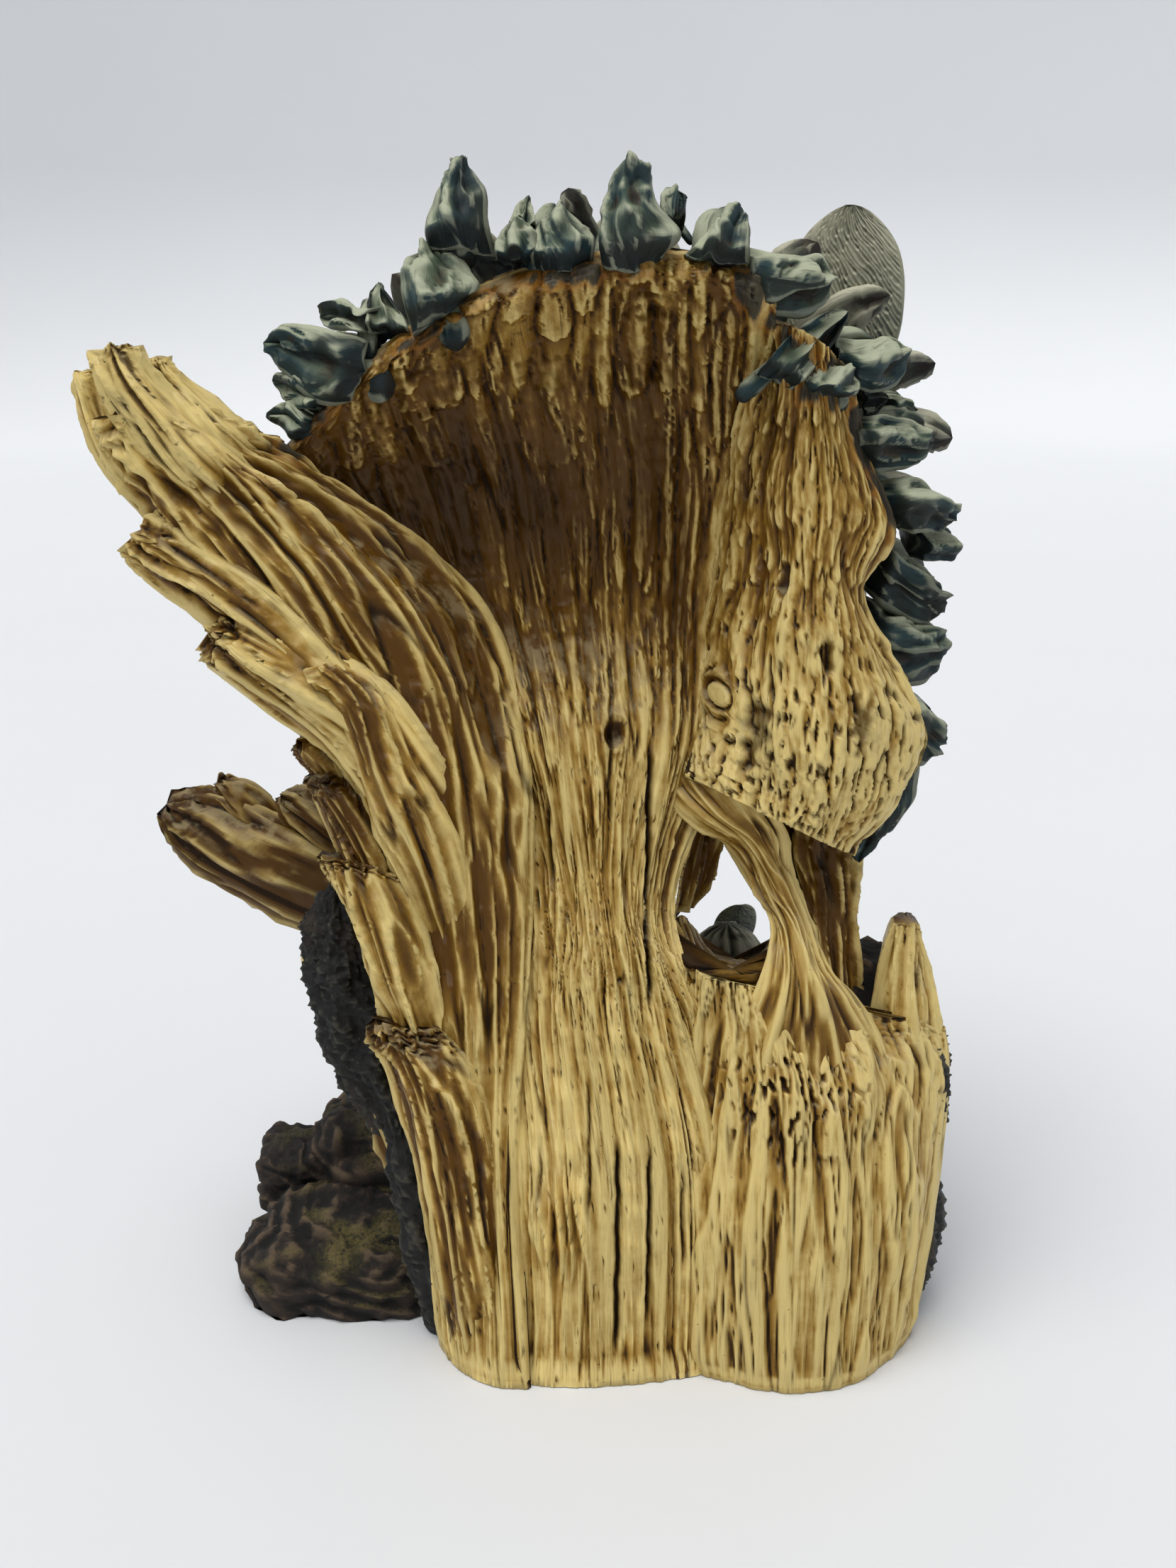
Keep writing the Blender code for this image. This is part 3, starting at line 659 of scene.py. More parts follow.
def trunk_relief(u, v, x, z):
    """The trunk's carving, as every relief gives it for each point of a slab that is u across and v along its grain:
    the grain's place across, the height in millimetres, how much browner it is, and how far it is split."""
    edge = rise(v / v.max(), 0.93, 0.99)
    u = u * (0.72 + 0.5 * u / u.max())
    u = u + 2.8 * wander(u / 24, v / 70, 1) + 1.2 * wander(u / 8, v / 26, 2)
    u = bend_round_knots(u, x, z, KNOTS)
    # The bowl: a fan of rounded lengths, with bigger ones under the rim.
    bowl = rise(z + 12 * wander(u / 20, v / 40, 3), 185, 255)
    wide, number = fingers(u, v, 4, 9.0, 52)
    narrow, _number = fingers(u + 4, v, 6, 5.6, 30)
    big, _number = fingers(u, v, 7, 11.5, 42)
    high = rise(z + 8 * number, 342, 360) * rise(x, -22, -36) * rise(x, -104, -88)
    fan = 2.6 * furrows(u, v, 9, 12, 90) + np.maximum(4.8 * wide, 4.4 * narrow - 0.4)
    fan += 0.5 * furrows(u, v, 11, 2.6, 22) + 0.4 * wander(u / 3, v / 5, 12)
    fan += high * (2.0 + 5.6 * big - fan)
    # The waist and the foot: long ridges that grow calmer downwards, and hooked ones on the left of the foot.
    streaky, rippled = rise(wander(u / 15, v / 50, 13), -0.1, 0.3), rise(wander(u / 12, v / 36, 15), 0.05, 0.4)
    strong, calm = rise(z, 60, 150), rise(z, 130, 70)
    plain = 2.8 * wander(u / 17, v / 60, 19) + (0.6 + 1.5 * strong) * crests(u, v, 17, 13, 110)
    plain += (0.3 + 0.9 * strong) * crests(u, v, 10, 6, 50) + 1.5 * layers(u, v, 21, 13, 130, 4) - 1.6
    plain += streaky * (1 - 0.6 * calm) * (0.9 * broken_furrows(u, v, 14, 5.0, 55) - 0.7)
    plain += 0.5 * rippled * crests(u, v, 16, 2.4, 26) + 0.4 * wander(u / 4, v / 9, 18)
    hooks = rise(np.hypot((x + 40) / 16, (z - 62) / 24), 1.0, 0.5)
    plain += hooks * (5.5 * crests(u + 3.0 * np.sin((z - 62) / 10), v, 32, 6.5, 60) - 1.8)
    plain += rise(z, 44, 16) * (1.0 * crests(u, v, 39, 5.0, 30) - 0.4)
    # What is cut into both.
    nicks = rise(wander(u / 1.8, v / 3.0, 20), 0.62, 0.78) * (1 - 0.6 * bowl)
    long = long_cracks(x, z, LONG_CRACKS)
    fine = np.maximum(splits(u, v, 22, 6.5, 70), 0.8 * (1 - 0.7 * calm) * splits(u, v, 42, 3.6, 46))
    swollen, stain = knot_relief(x, z, KNOTS)
    relief = plain + (fan - plain) * bowl - 4.5 + 0.15 * wander(u / 0.9, v / 9, 5)
    relief += swollen - 0.8 * nicks - 1.3 * long - 1.2 * fine
    # The brown: wash and painted shade, thick in the bowl under the rim, in a streak above the knots and beside
    # the den, thin at the foot.
    brown = 0.8 * np.exp(-(((x + 62) / 62) ** 2) - ((z - 296) / 50) ** 2) + 0.34 * rise(z, 270, 320) * rise(x, 40, 10)
    brown += 0.6 * np.exp(-(((x - 2) / 8) ** 2) - ((z - 268) / 30) ** 2)
    brown += 0.35 * rise(np.hypot(x - 14, z - 176), 30, 8)
    brown += 0.3 * wander(u / 9, v / 40, 40) * (1 - bowl) + 0.28 * rise(z, 120, 190) + 0.15 * rise(z, 75, 40)
    brown += stain - 0.12 * rise(z, 130, 90) - 0.12 + 0.25 * number * bowl
    return u, relief * (1 - 0.8 * edge), brown, np.maximum(np.maximum(0.6 * long, 0.7 * nicks), 0.7 * fine)


trunk = Piece("hollow_trunk")
carve(trunk, TRUNK_ROWS, TRUNK_THICK, TRUNK_GRID, trunk_relief, 1)
trunk.finish(driftwood, "driftwood_resin")

# The split limb that leans out to the left, with the slabs that lie split off along its lower side and the three
# broken tips at its end. They are part of the same resin, carved as slivers of the trunk with long smooth flutes
# and crumbled ends.
LIMB_ROWS = [
    [(-86, -46, 0), (-72, -68, 0), (-50, -74, 0)],
    [(-92, -44, 70), (-76, -56, 76), (-53, -60, 78)],
    [(-100, -38, 131), (-80, -50, 133), (-50, -46, 131)],
    [(-108, -36, 180), (-86, -46, 186), (-46, -31, 178)],
    [(-122, -38, 225), (-94, -46, 236), (-48, -24, 220)],
    [(-140, -40, 258), (-108, -48, 274), (-56, -4, 258)],
    [(-162, -42, 292), (-132, -50, 309), (-82, -6, 286)],
    [(-180, -44, 322), (-157, -52, 335), (-120, -30, 320)],
    [(-186, -46, 338), (-168, -54, 346), (-142, -40, 337)],
]
SLABS = {
    "nose": [
        [(-96, -36, 196), (-88, -46, 204), (-76, -34, 210)],
        [(-112, -40, 226), (-102, -54, 236), (-88, -40, 246)],
        [(-132, -42, 252), (-122, -57, 264), (-108, -42, 276)],
        [(-156, -46, 275), (-142, -57, 284), (-128, -44, 294)],
        [(-172, -47, 288), (-160, -56, 298), (-150, -46, 307)],
        [(-178, -49, 300), (-174, -54, 307), (-167, -49, 314)],
    ],
    "pale": [
        [(-88, -40, 182), (-78, -48, 190), (-66, -36, 194)],
        [(-104, -42, 206), (-92, -56, 216), (-78, -44, 226)],
        [(-118, -43, 228), (-106, -60, 240), (-94, -46, 252)],
        [(-136, -44, 243), (-124, -61, 256), (-114, -48, 268)],
        [(-152, -46, 258), (-142, -60, 268), (-134, -50, 279)],
        [(-156, -48, 268), (-152, -54, 276), (-150, -50, 283)],
    ],
    "fold": [
        [(-84, -40, 140), (-76, -52, 142), (-64, -42, 140)],
        [(-95, -44, 190), (-86, -58, 192), (-73, -44, 190)],
        [(-106, -46, 222), (-97, -62, 226), (-85, -48, 226)],
        [(-114, -50, 248), (-107, -63, 254), (-98, -50, 252)],
        [(-121, -54, 262), (-117, -62, 265), (-111, -55, 264)],
    ],
    "sliver": [
        [(-112, -34, 206), (-108, -44, 208), (-100, -36, 212)],
        [(-124, -38, 222), (-119, -45, 226), (-110, -38, 230)],
        [(-131, -41, 232), (-129, -44, 235), (-124, -40, 238)],
    ],
    "crumbled": [
        [(-104, -38, 150), (-94, -48, 152), (-82, -38, 150)],
        [(-112, -40, 180), (-102, -51, 184), (-90, -40, 188)],
        [(-121, -41, 206), (-112, -51, 210), (-100, -42, 212)],
        [(-127, -40, 222), (-120, -47, 225), (-112, -42, 226)],
    ],
    "flanged": [
        [(-98, -50, 96), (-88, -60, 98), (-74, -54, 98)],
        [(-103, -46, 132), (-92, -59, 134), (-79, -50, 134)],
        [(-107, -46, 152), (-97, -59, 154), (-83, -48, 154)],
        [(-112, -46, 172), (-102, -59, 173), (-86, -48, 170)],
        [(-121, -46, 188), (-108, -56, 190), (-92, -50, 185)],
        [(-123, -46, 194), (-110, -53, 195), (-96, -50, 189)],
    ],
    "lowest": [
        [(-85, -54, 0), (-70, -71, 0), (-50, -66, 0)],
        [(-87, -54, 40), (-74, -70, 42), (-56, -60, 44)],
        [(-92, -55, 84), (-80, -67, 88), (-62, -56, 90)],
        [(-100, -54, 116), (-88, -64, 120), (-70, -54, 118)],
        [(-108, -53, 135), (-97, -60, 138), (-82, -54, 134)],
    ],
}
TIPS = {
    "low": [
        [(-170, -42, 302), (-166, -49, 306), (-158, -44, 312)],
        [(-185, -44, 328), (-180, -50, 330), (-173, -46, 334)],
        [(-190, -45, 346), (-187, -50, 350), (-181, -46, 350)],
        [(-190, -46, 352), (-188, -49, 355), (-184, -47, 355)],
    ],
    "wide": [
        [(-150, -46, 300), (-140, -56, 310), (-126, -44, 318)],
        [(-168, -48, 326), (-158, -58, 334), (-146, -46, 338)],
        [(-179, -50, 346), (-172, -57, 353), (-162, -50, 352)],
        [(-183, -51, 360), (-176, -55, 364), (-167, -51, 362)],
    ],
    "inner": [
        [(-140, -38, 310), (-134, -47, 316), (-124, -38, 318)],
        [(-158, -44, 336), (-151, -51, 341), (-143, -42, 338)],
        [(-166, -46, 350), (-162, -50, 354), (-156, -46, 350)],
        [(-167, -47, 357), (-164, -49, 360), (-160, -47, 358)],
    ],
}
LIMB_THICK, SLAB_THICK, TIP_THICK = (46, 14), (16, 8), (14, 7)
LIMB_GRID, SLAB_GRID, TIP_GRID = (130, 20, 230), (50, 12, 84), (36, 10, 54)
# How much browner some of the slabs are than the others, and how far their ends have crumbled.
SLAB_BROWN, SLAB_BROWN_ELSE = {"crumbled": 0.6, "lowest": 0.35, "fold": 0.2, "sliver": 0.4, "pale": -0.1}, 0.08
SLAB_CRUMBLE, SLAB_CRUMBLE_ELSE = {"nose": 0.3, "fold": 0.1}, 1.3


def limb_relief(u, v, x, z):
    """Long smooth flutes, with upright lengths on the inner flank and pits towards the foot."""
    u = u + 2.2 * wander(u / 22, v / 90, 21) + 0.7 * wander(u / 7, v / 30, 22)
    height = 4.2 * crests(u, v, 23, 13, 170) + 2.3 * crests(u, v, 24, 6, 90) + 1.2 * broken_furrows(u, v, 29, 6, 90)
    height += 1.8 * layers(u, v, 25, 12, 140, 4) - 4.5
    patchy = rise(wander(u / 14, v / 45, 26), -0.1, 0.3)
    height += 0.8 * patchy * crests(u, v, 27, 2.6, 30) + 2.2 * rise(z, 280, 335) * wander(u / 5, v / 9, 28)
    low = rise(z, 150, 105)
    height = height * (1 - 0.5 * low) - 1.0 * low
    dug = low * rise(wander(u / 1.9, v / 3.2, 18), 0.55, 0.75)
    flank = rise(u, 0.62 * u.max(), 0.8 * u.max()) * (1 - low)
    upright, _number = fingers(u, v, 19, 5.0, 60)
    height += flank * (3.6 * upright - 1.6)
    fine = splits(u, v, 20, 8, 110)
    brown = 0.3 * np.exp(-(((x + 82) / 26) ** 2) - ((z - 262) / 50) ** 2) + 0.5 - 0.6 * rise(z - 0.4 * x, 376, 404)
    brown += 0.35 * wander(u / 9, v / 50, 57) - 0.45 * low
    return u, height - 1.5 * fine - 0.8 * dug, brown, np.maximum(0.85 * fine, 0.7 * dug)


def slab_relief(u, v, x, z):
    """Flutes and thin layers, different on each slab because its first point moves them."""
    u, v = u + 3.1 * x[0, 0] + 1.5 * wander(u / 12, v / 40, 61), v - 2.7 * z[0, 0]
    height = 3.4 * crests(u, v, 62, 11, 110) + 1.5 * crests(u, v, 63, 5, 50) + 1.2 * layers(u, v, 64, 9, 100, 3)
    patchy = rise(wander(u / 9, v / 30, 70), -0.2, 0.3)
    height += 1.1 * broken_furrows(u, v, 69, 5, 60) + 0.7 * patchy * crests(u, v, 55, 2.3, 22) - 3.2
    fine = splits(u, v, 52, 7, 80)
    return u, height - 1.2 * fine, 0.4 * wander(u / 9, v / 45, 60) + 0.15, 0.8 * fine


limb = Piece("split_limb")
carve(limb, LIMB_ROWS, LIMB_THICK, LIMB_GRID, limb_relief, 2, ragged=6.0, edge=-7.0)
limb.finish(driftwood, "driftwood_resin")
slabs = Piece("split_slabs")
for number, (name, rows) in enumerate(SLABS.items()):
    brown, crumble = SLAB_BROWN.get(name, SLAB_BROWN_ELSE), SLAB_CRUMBLE.get(name, SLAB_CRUMBLE_ELSE)
    shape = rows, SLAB_THICK, SLAB_GRID, slab_relief, 3 + number
    carve(slabs, *shape, dark=brown, ragged=7.0, crumble=crumble, sink=9.0)
slabs.finish(driftwood, "driftwood_resin")
tips = Piece("limb_tips")
for number, rows in enumerate(TIPS.values()):
    shape = rows, TIP_THICK, TIP_GRID, slab_relief, 10 + number
    carve(tips, *shape, dark=-1.1, ragged=5.0, crumble=0.25, sink=10.0)
tips.finish(driftwood, "driftwood_resin")

# The lobe on the right, behind the mane. It is cast with the trunk, and worn into short upright ribs and pits
# that crowd together at its lower edge, with one pale knot.
LOBE_ROWS = [
    [(2, -22, 216), (40, -42, 202), (66, -22, 184)],
    [(4, -10, 226), (42, -44, 216), (82, -20, 206)],
    [(6, 0, 240), (42, -43, 238), (91, -18, 226)],
    [(8, 6, 262), (42, -37, 264), (84, -16, 246)],
    [(12, 8, 290), (43, -30, 290), (67, -13, 276)],
    [(16, 4, 318), (44, -25, 316), (77, -13, 298)],
    [(20, -6, 345), (44, -24, 342), (62, -12, 330)],
    [(24, -16, 368), (42, -27, 364), (58, -16, 348)],
]
LOBE_THICK, LOBE_GRID = (22, 26), (150, 20, 170)
LOBE_KNOTS = [(15, 243, 5.2, 1.0)]
LOBE_POCKETS = [(27, 236, 6), (25, 227, 4), (62, 239, 5), (50, 262, 3), (36, 286, 3)]  # across, height and reach


def lobe_relief(u, v, x, z):
    """Short upright ribs, pits that crowd downwards, and a few deep pockets."""
    u = u + 1.2 * wander(u / 14, v / 34, 31) + 0.5 * wander(u / 4, v / 9, 32)
    u = bend_round_knots(u, x, z, LOBE_KNOTS)
    worn = rise(z, 310, 215)
    rib, number = fingers(u, v, 33, 5.6, 34)
    thin, _number = fingers(u + 3, v, 30, 3.4, 17)
    height = 1.4 * furrows(u, v, 34, 9, 44) + 0.4 * furrows(u, v, 35, 2.2, 14)
    height += np.maximum(3.4 * rib, 3.2 * thin - 0.3)
    dug = rise(wander(u / 1.5, v / 7.5, 36), 0.55 - 0.35 * worn, 0.85 - 0.35 * worn)
    pockets = np.zeros(u.shape)
    for across, up, reach in LOBE_POCKETS:
        ragged = 2.2 * wander(x / 4 + up, z / 5, 39)
        pockets = np.maximum(pockets, rise(np.hypot(x - across, (z - up) / 2.4) + ragged, reach, 0.3 * reach))
    fine = splits(u, v, 29, 5, 30)
    height += 0.4 * wander(u / 1.6, v / 4, 37) + 2.0 * wander(u / 12, v / 26, 38) - 2.6
    height -= 1.6 * dug + 2.6 * pockets + fine
    swollen, stain = knot_relief(x, z, LOBE_KNOTS)
    for across, up, radius, _raised in LOBE_KNOTS:
        clear = 1 - rise(np.hypot(x - across, z - up), radius + 2.8, radius - 0.2)
        height = height * clear - 1.0 * (1 - clear)
        dug = dug * clear
    brown = stain + 0.6 * rise(z, 226, 286) + 0.3 * rise(z - 0.25 * np.abs(x - 40), 208, 194) - 0.25
    brown += 0.3 * wander(u / 8, v / 20, 28) + 0.2 * number
    return u, height + swollen, brown, np.maximum(np.maximum(0.75 * dug, 0.8 * pockets), 0.7 * fine)


lobe = Piece("right_lobe")
carve(lobe, LOBE_ROWS, LOBE_THICK, LOBE_GRID, lobe_relief, 14, edge=-4.0)
lobe.finish(driftwood, "driftwood_resin")

# The root on the lower right, a broad flare of the trunk's foot. It is cast with the trunk, and carved with
# slanting splits and a patch of rot.
ROOT_ROWS = [
    [(-6, -52, 0), (50, -76, 0), (92, -40, 0)],
    [(-6, -50, 50), (50, -72, 54), (98, -36, 36)],
    [(-4, -44, 92), (50, -63, 96), (103, -26, 78)],
    [(2, -42, 124), (48, -54, 120), (104, -20, 102)],
    [(4, -46, 152), (44, -43, 140), (102, -17, 116)],
]
ROOT_THICK, ROOT_GRID = (56, 5), (168, 20, 144)


def root_relief(u, v, x, z):
    """Low ridges and thin layers, dug out where the wood is rotten."""
    u = u + 2.4 * wander(u / 22, v / 60, 41) + 0.8 * wander(u / 7, v / 22, 42)
    height = 1.6 * crests(u, v, 43, 12, 90) + 0.8 * crests(u, v, 44, 5, 55) + 1.0 * broken_furrows(u, v, 29, 6, 60)
    patchy = rise(wander(u / 13, v / 30, 45), -0.1, 0.3)
    height += 0.6 * patchy * furrows(u, v, 46, 2.3, 26) + 1.7 * layers(u, v, 47, 11, 80, 4) - 3.4
    rotten = rise(np.hypot(x - 42, (z - 108) / 0.9), 34, 12)
    dug = rotten * rise(wander(u / 2.4, v / 7.5, 48), 0.2, 0.5)
    fine = np.maximum(splits(u, v, 51, 6, 80), 0.8 * splits(u, v, 43, 3.4, 44))
    height += 1.8 * wander(u / 17, v / 50, 49) - 2.6 * dug - 1.3 * fine
    brown = 0.35 * rotten + 0.3 * wander(u / 8, v / 40, 50) - 0.15
    return u, height, brown, np.maximum(0.75 * dug, 0.75 * fine)


root = Piece("right_root")
carve(root, ROOT_ROWS, ROOT_THICK, ROOT_GRID, root_relief, 15, ragged=1.5, crumble=0.2)
root.finish(driftwood, "driftwood_resin")

# The bark left on the wolves' side of the trunk. It is cast in the same resin as a crinkled net of threads, and
# painted near black.
BARK_ROWS = [
    [(-86, 18, 0), (-34, 58, 0), (12, 40, 0)],
    [(-86, 10, 70), (-40, 50, 72), (8, 36, 76)],
    [(-88, 0, 140), (-42, 44, 146), (4, 34, 150)],
    [(-92, -6, 200), (-42, 44, 206), (6, 38, 200)],
    [(-104, -4, 266), (-46, 34, 284), (8, 34, 266)],
]
BARK_THICK, BARK_GRID = (-48, -20), (70, 16, 84)  # it is thickened towards the trunk
SOOT, SOOT_EDGE, BARK_BROWN = paint(9, 9, 7), paint(58, 56, 46), paint(62, 44, 24)


def bark_finish(name):
    """Near-black bark whose raised net of threads catches a little grey."""
    bark = Finish(name, 0.7)
    patch = bark.cloud(bark.place, 0.04 / MM, 3.0)
    grit = bark.cloud(bark.stretch(bark.attribute("grain", "Vector"), (0.8, 0.35, 1.0)), 1.0, 4.0)
    raised = bark.step(grit - 0.9 * bark.attribute("crease"), 0.75, 1.6)
    bark.feed("Base Color", bark.coats(SOOT, (BARK_BROWN, 0.6 * bark.step(patch, 0.55, 0.8)), (SOOT_EDGE, raised)))
    bark.feed("Roughness", 0.5 + 0.35 * grit)
    bark.bump(grit, 0.5 * MM, 0.8)
    return bark.material


black_bark = bark_finish("black_bark")


def bark_net(u, v, seed, size):
    """A crinkled net of raised threads, with long sunk pockets in staggered columns between them."""
    u, v = u / size + 0.5 * wander(u / size, v / size, seed + 1), v / (1.5 * size)
    period = 64
    rng = np.random.default_rng(seed)
    places = rng.uniform(-0.36, 0.36, (period, period, 2))
    rng.random((period, period))  # nothing reads this draw, but the stagger that follows it depends on it
    stagger = rng.uniform(0, 1, period)
    first, second = np.full(u.shape, 9.0), np.full(u.shape, 9.0)
    column = np.floor(u).astype(int)
    for step in (-1, 0, 1):
        a = (column + step) % period
        slid = v + stagger[a]
        row = np.floor(slid).astype(int)
        for up in (-1, 0, 1):
            b = (row + up) % period
            du = column + step + 0.5 + places[a, b, 0] - u
            dv = row + up + 0.5 + places[a, b, 1] - slid
            reach = np.sqrt(du * du + 4 * dv**4)
            second = np.where(reach < first, first, np.minimum(second, reach))
            first = np.minimum(first, reach)
    return 1 - np.sqrt(np.minimum((second - first) / 0.6, 1))


face, across, share, behind, u, v = sheet(BARK_ROWS, *BARK_THICK, BARK_GRID)
relief = 2.8 * bark_net(u, v, 51, 8.0) + 3.2 * (furrows(u, v, 52, 13, 60) - 0.5) + 1.4 * wander(u / 9, v / 22, 53)
face += outward(face) * (relief * np.minimum(1, 8 * across * (1 - across)))[..., None]
front_bark = Piece("front_bark")
front_bark.add(face, grain_of(u, v, 5))
front_bark.finish(black_bark, "rock_resin")

# The frame of the den's opening: a twisted strap in front that comes down from the arch, a darker one behind it,
# the fold of the inner wall, the broken post on the right, and the scooped sill with its grooves. The strap behind,
# the inner wall and the far part of the sill are painted darker with painted shade, deeper in the den, and the
# grooves hold wash and painted shade. All are carved from the same cast wood.
DEN_STRAPS = {
    "front": [
        [(14, -54, 98), (46, -62, 96), (84, -42, 90)],
        [(20, -53, 126), (46, -57, 122), (77, -37, 116)],
        [(29, -47, 146), (46, -51, 141), (66, -34, 134)],
        [(34, -37, 158), (44, -44, 153), (56, -31, 145)],
        [(34, -28, 165), (42, -36, 163), (50, -26, 158)],
        [(28, -20, 172), (38, -30, 171), (46, -20, 169)],
        [(22, -14, 181), (33, -27, 181), (41, -17, 181)],
        [(16, -12, 189), (26, -27, 193), (39, -18, 195)],
        [(4, -12, 194), (14, -28, 203), (34, -22, 210)],
        [(-8, -12, 203), (4, -19, 214), (24, -14, 226)],
        [(-14, -2, 212), (-2, -6, 226), (16, 2, 238)],
    ],
    "behind": [
        [(46, -20, 112), (60, -28, 112), (72, -16, 112)],
        [(48, -14, 149), (56, -20, 151), (68, -10, 147)],
        [(45, -8, 166), (54, -16, 168), (69, -6, 165)],
        [(40, -4, 181), (51, -14, 186), (70, -4, 180)],
        [(40, -4, 204), (54, -12, 206), (72, -4, 202)],
    ],
    "post": [
        [(74, -18, 88), (88, -29, 88), (106, -16, 86)],
        [(75, -17, 122), (87, -26, 122), (99, -15, 118)],
        [(76, -17, 140), (86, -23, 142), (95, -14, 138)],
        [(79, -17, 152), (86, -20, 154), (92, -14, 149)],
        [(82, -16, 156), (87, -18, 157), (91, -14, 155)],
    ],
    "wall": [
        [(1, -18, 156), (6, -6, 156), (9, 6, 152)],
        [(3, -14, 172), (11, -4, 170), (16, 6, 164)],
        [(6, -14, 188), (14, -6, 187), (20, 4, 182)],
        [(10, -10, 206), (18, -6, 206), (26, 2, 204)],
    ],
}
STRAP_THICK, STRAP_GRID, FRONT_STRAP_GRID = (10, 12), (46, 12, 64), (64, 12, 120)
# How much darker each strap is painted: painted shade on the strap behind and the inner wall, deeper in the den, and
# the post a little paler.
STRAP_DARK, STRAP_DARK_ELSE = {"front": 0.0, "post": -0.35}, 0.6
SILL_ROWS = [
    [(-4, -24, 160), (20, -49, 149), (46, -26, 158)],
    [(-3, -18, 156), (21, -39, 144), (45, -20, 154)],
    [(4, -12, 158), (21, -22, 135), (41, -16, 151)],
    [(8, 0, 150), (24, -6, 134), (42, -2, 145)],
    [(8, 16, 142), (26, 10, 130), (42, 16, 138)],
]
SILL_THICK, SILL_GRID = (8, 14), (72, 14, 52)


def spar(path, half_width, half_depth, bluntness, turns, rows, taper=0.0, square=2.0, ragged=0.0):
    """A sliver along a path, its end broken off raggedly: its points, its grain across and along, the share
    along it and the angle from the middle of its seen side."""
    turn, share = np.meshgrid(np.arange(turns) / turns * 2 * math.pi, np.arange(rows + 1) / rows)
    from_middle = (turn - math.pi / 2) % (2 * math.pi) - math.pi
    run = np.linalg.norm(np.diff(np.asarray(path, float), axis=0), axis=1).sum()
    u, v = from_middle * 0.5 * (half_width + half_depth), share * run
    torn = ragged / run * (0.5 + 0.8 * wander(u / 3.2 + path[0][2], 0 * u, 59)) * rise(share, 0.6, 1.0)
    centre = spline(path, share - torn)
    ahead = spline(path, np.minimum(share + 0.02, 1)) - spline(path, np.maximum(share - 0.02, 0))
    ahead /= np.linalg.norm(ahead, axis=2)[..., None]
    side = np.cross(ahead, (0, -1, 0))
    side /= np.linalg.norm(side, axis=2)[..., None]
    far = np.cross(ahead, side)
    swell = (1 - taper * share) * np.sqrt(1 - share**bluntness) * np.sqrt(1 - (1 - share) ** 6)
    swell /= (np.abs(np.cos(turn)) ** square + np.abs(np.sin(turn)) ** square) ** (1 / square)
    at = centre + side * (half_width * swell * np.cos(turn))[..., None]
    at += far * (half_depth * swell * np.sin(turn))[..., None]
    return at, u, v, share, np.abs(from_middle)


def carved_spar(piece, shape, number, turns, rows, crumble, deep, square, ragged, dark=0.0):
    """Adds one sliver of wood, fluted along its length and crumbled at its end."""
    at, u, v, share, round_it = spar(*shape, turns, rows, square=square, ragged=ragged)
    u, v = u + 100 + 1.6 * wander(u / 12, v / 30, 60 + number), v + 47 * number
    relief = deep * (3.2 * crests(u, v, 61, 10, 100) + 1.8 * crests(u, v, 62, 5, 50) - 2.6)
    relief += deep * (1.0 * layers(u, v, 63, 8, 90, 3) - 1.0) + 0.5 * furrows(u, v, 64, 2.2, 22)
    ending = crumble * rise(share + 0.08 * wander(u / 4, v / 6, 65), 0.78, 0.95)
    dug = np.minimum(1, ending) * rise(wander(u / 2.6, v / 3.4, 66), 0.0, 0.45)
    relief += ending * (1.4 * wander(u / 3, v / 4, 67) + 0.7 * wander(u / 1.5, v / 2, 68)) - 2.6 * dug
    relief *= rise(math.pi - round_it, 0, 0.5) * np.minimum(1, 8 * share)
    at += outward(at) * relief[..., None]
    piece.add(at, grain_of(u, v, 10 + number), tone=dark + 0.25 * ending, paint=rim_paint(at), split=0.7 * dug)


def sill_relief(u, v, _x, _z):
    """Grooves across the sill, dark with wash and painted shade, and painted shade that deepens into the den."""
    groove = furrows(v + 1.5 * wander(u / 9, v / 9, 57), u, 58, 4.0, 60)
    height = 3.2 * groove + 0.8 * furrows(v, u, 71, 1.6, 18) - 1.6 + 0.4 * wander(u / 3, v / 3, 72)
    return u, height, 0.2 + 0.6 * rise(v, 6, 30), 0.7 * rise(groove, 0.45, 0.1)


den_frame = Piece("den_frame")
for number, (name, rows) in enumerate(DEN_STRAPS.items()):
    worn = 0.3 if name == "post" else 0.0
    shape = rows, STRAP_THICK, FRONT_STRAP_GRID if name == "front" else STRAP_GRID, slab_relief, 16 + number
    dark = STRAP_DARK.get(name, STRAP_DARK_ELSE)
    carve(den_frame, *shape, dark=dark, ragged=6.0 * worn, crumble=worn, sink=6.0)
carve(den_frame, SILL_ROWS, SILL_THICK, SILL_GRID, sill_relief, 20, inward=(0, 0.3, -1), full=3.0)
den_frame.finish(driftwood, "driftwood_resin")

# The stub branch on the left and the core that carries it. It is the same wood, with a darker brown wash brushed
# over its top and two knuckles where twigs broke off.
BRANCH = {  # its path, half width, half depth and how blunt its end is
    "branch": ([(-88, -8, 146), (-118, 0, 160), (-158, 14, 174), (-191, 21, 191)], 18, 11, 6.0),
    "nub": ([(-146, 14, 178), (-160, 18, 190), (-171, 20, 199)], 8, 7, 3.0),
    "knuckle": ([(-112, 4, 172), (-130, 6, 188), (-145, 9, 198)], 9, 7, 3.0),
    "left_core": ([(-88, -20, 44), (-98, -16, 104), (-110, -12, 158)], 18, 14, 4.0),
}
branch = Piece("stub_branch")
for number, shape in enumerate(BRANCH.values()):
    carved_spar(branch, shape, 20 + number, 48, 64, crumble=0.6, deep=1.3, square=2.8, dark=1.0, ragged=5.0)
branch.finish(driftwood, "driftwood_resin")

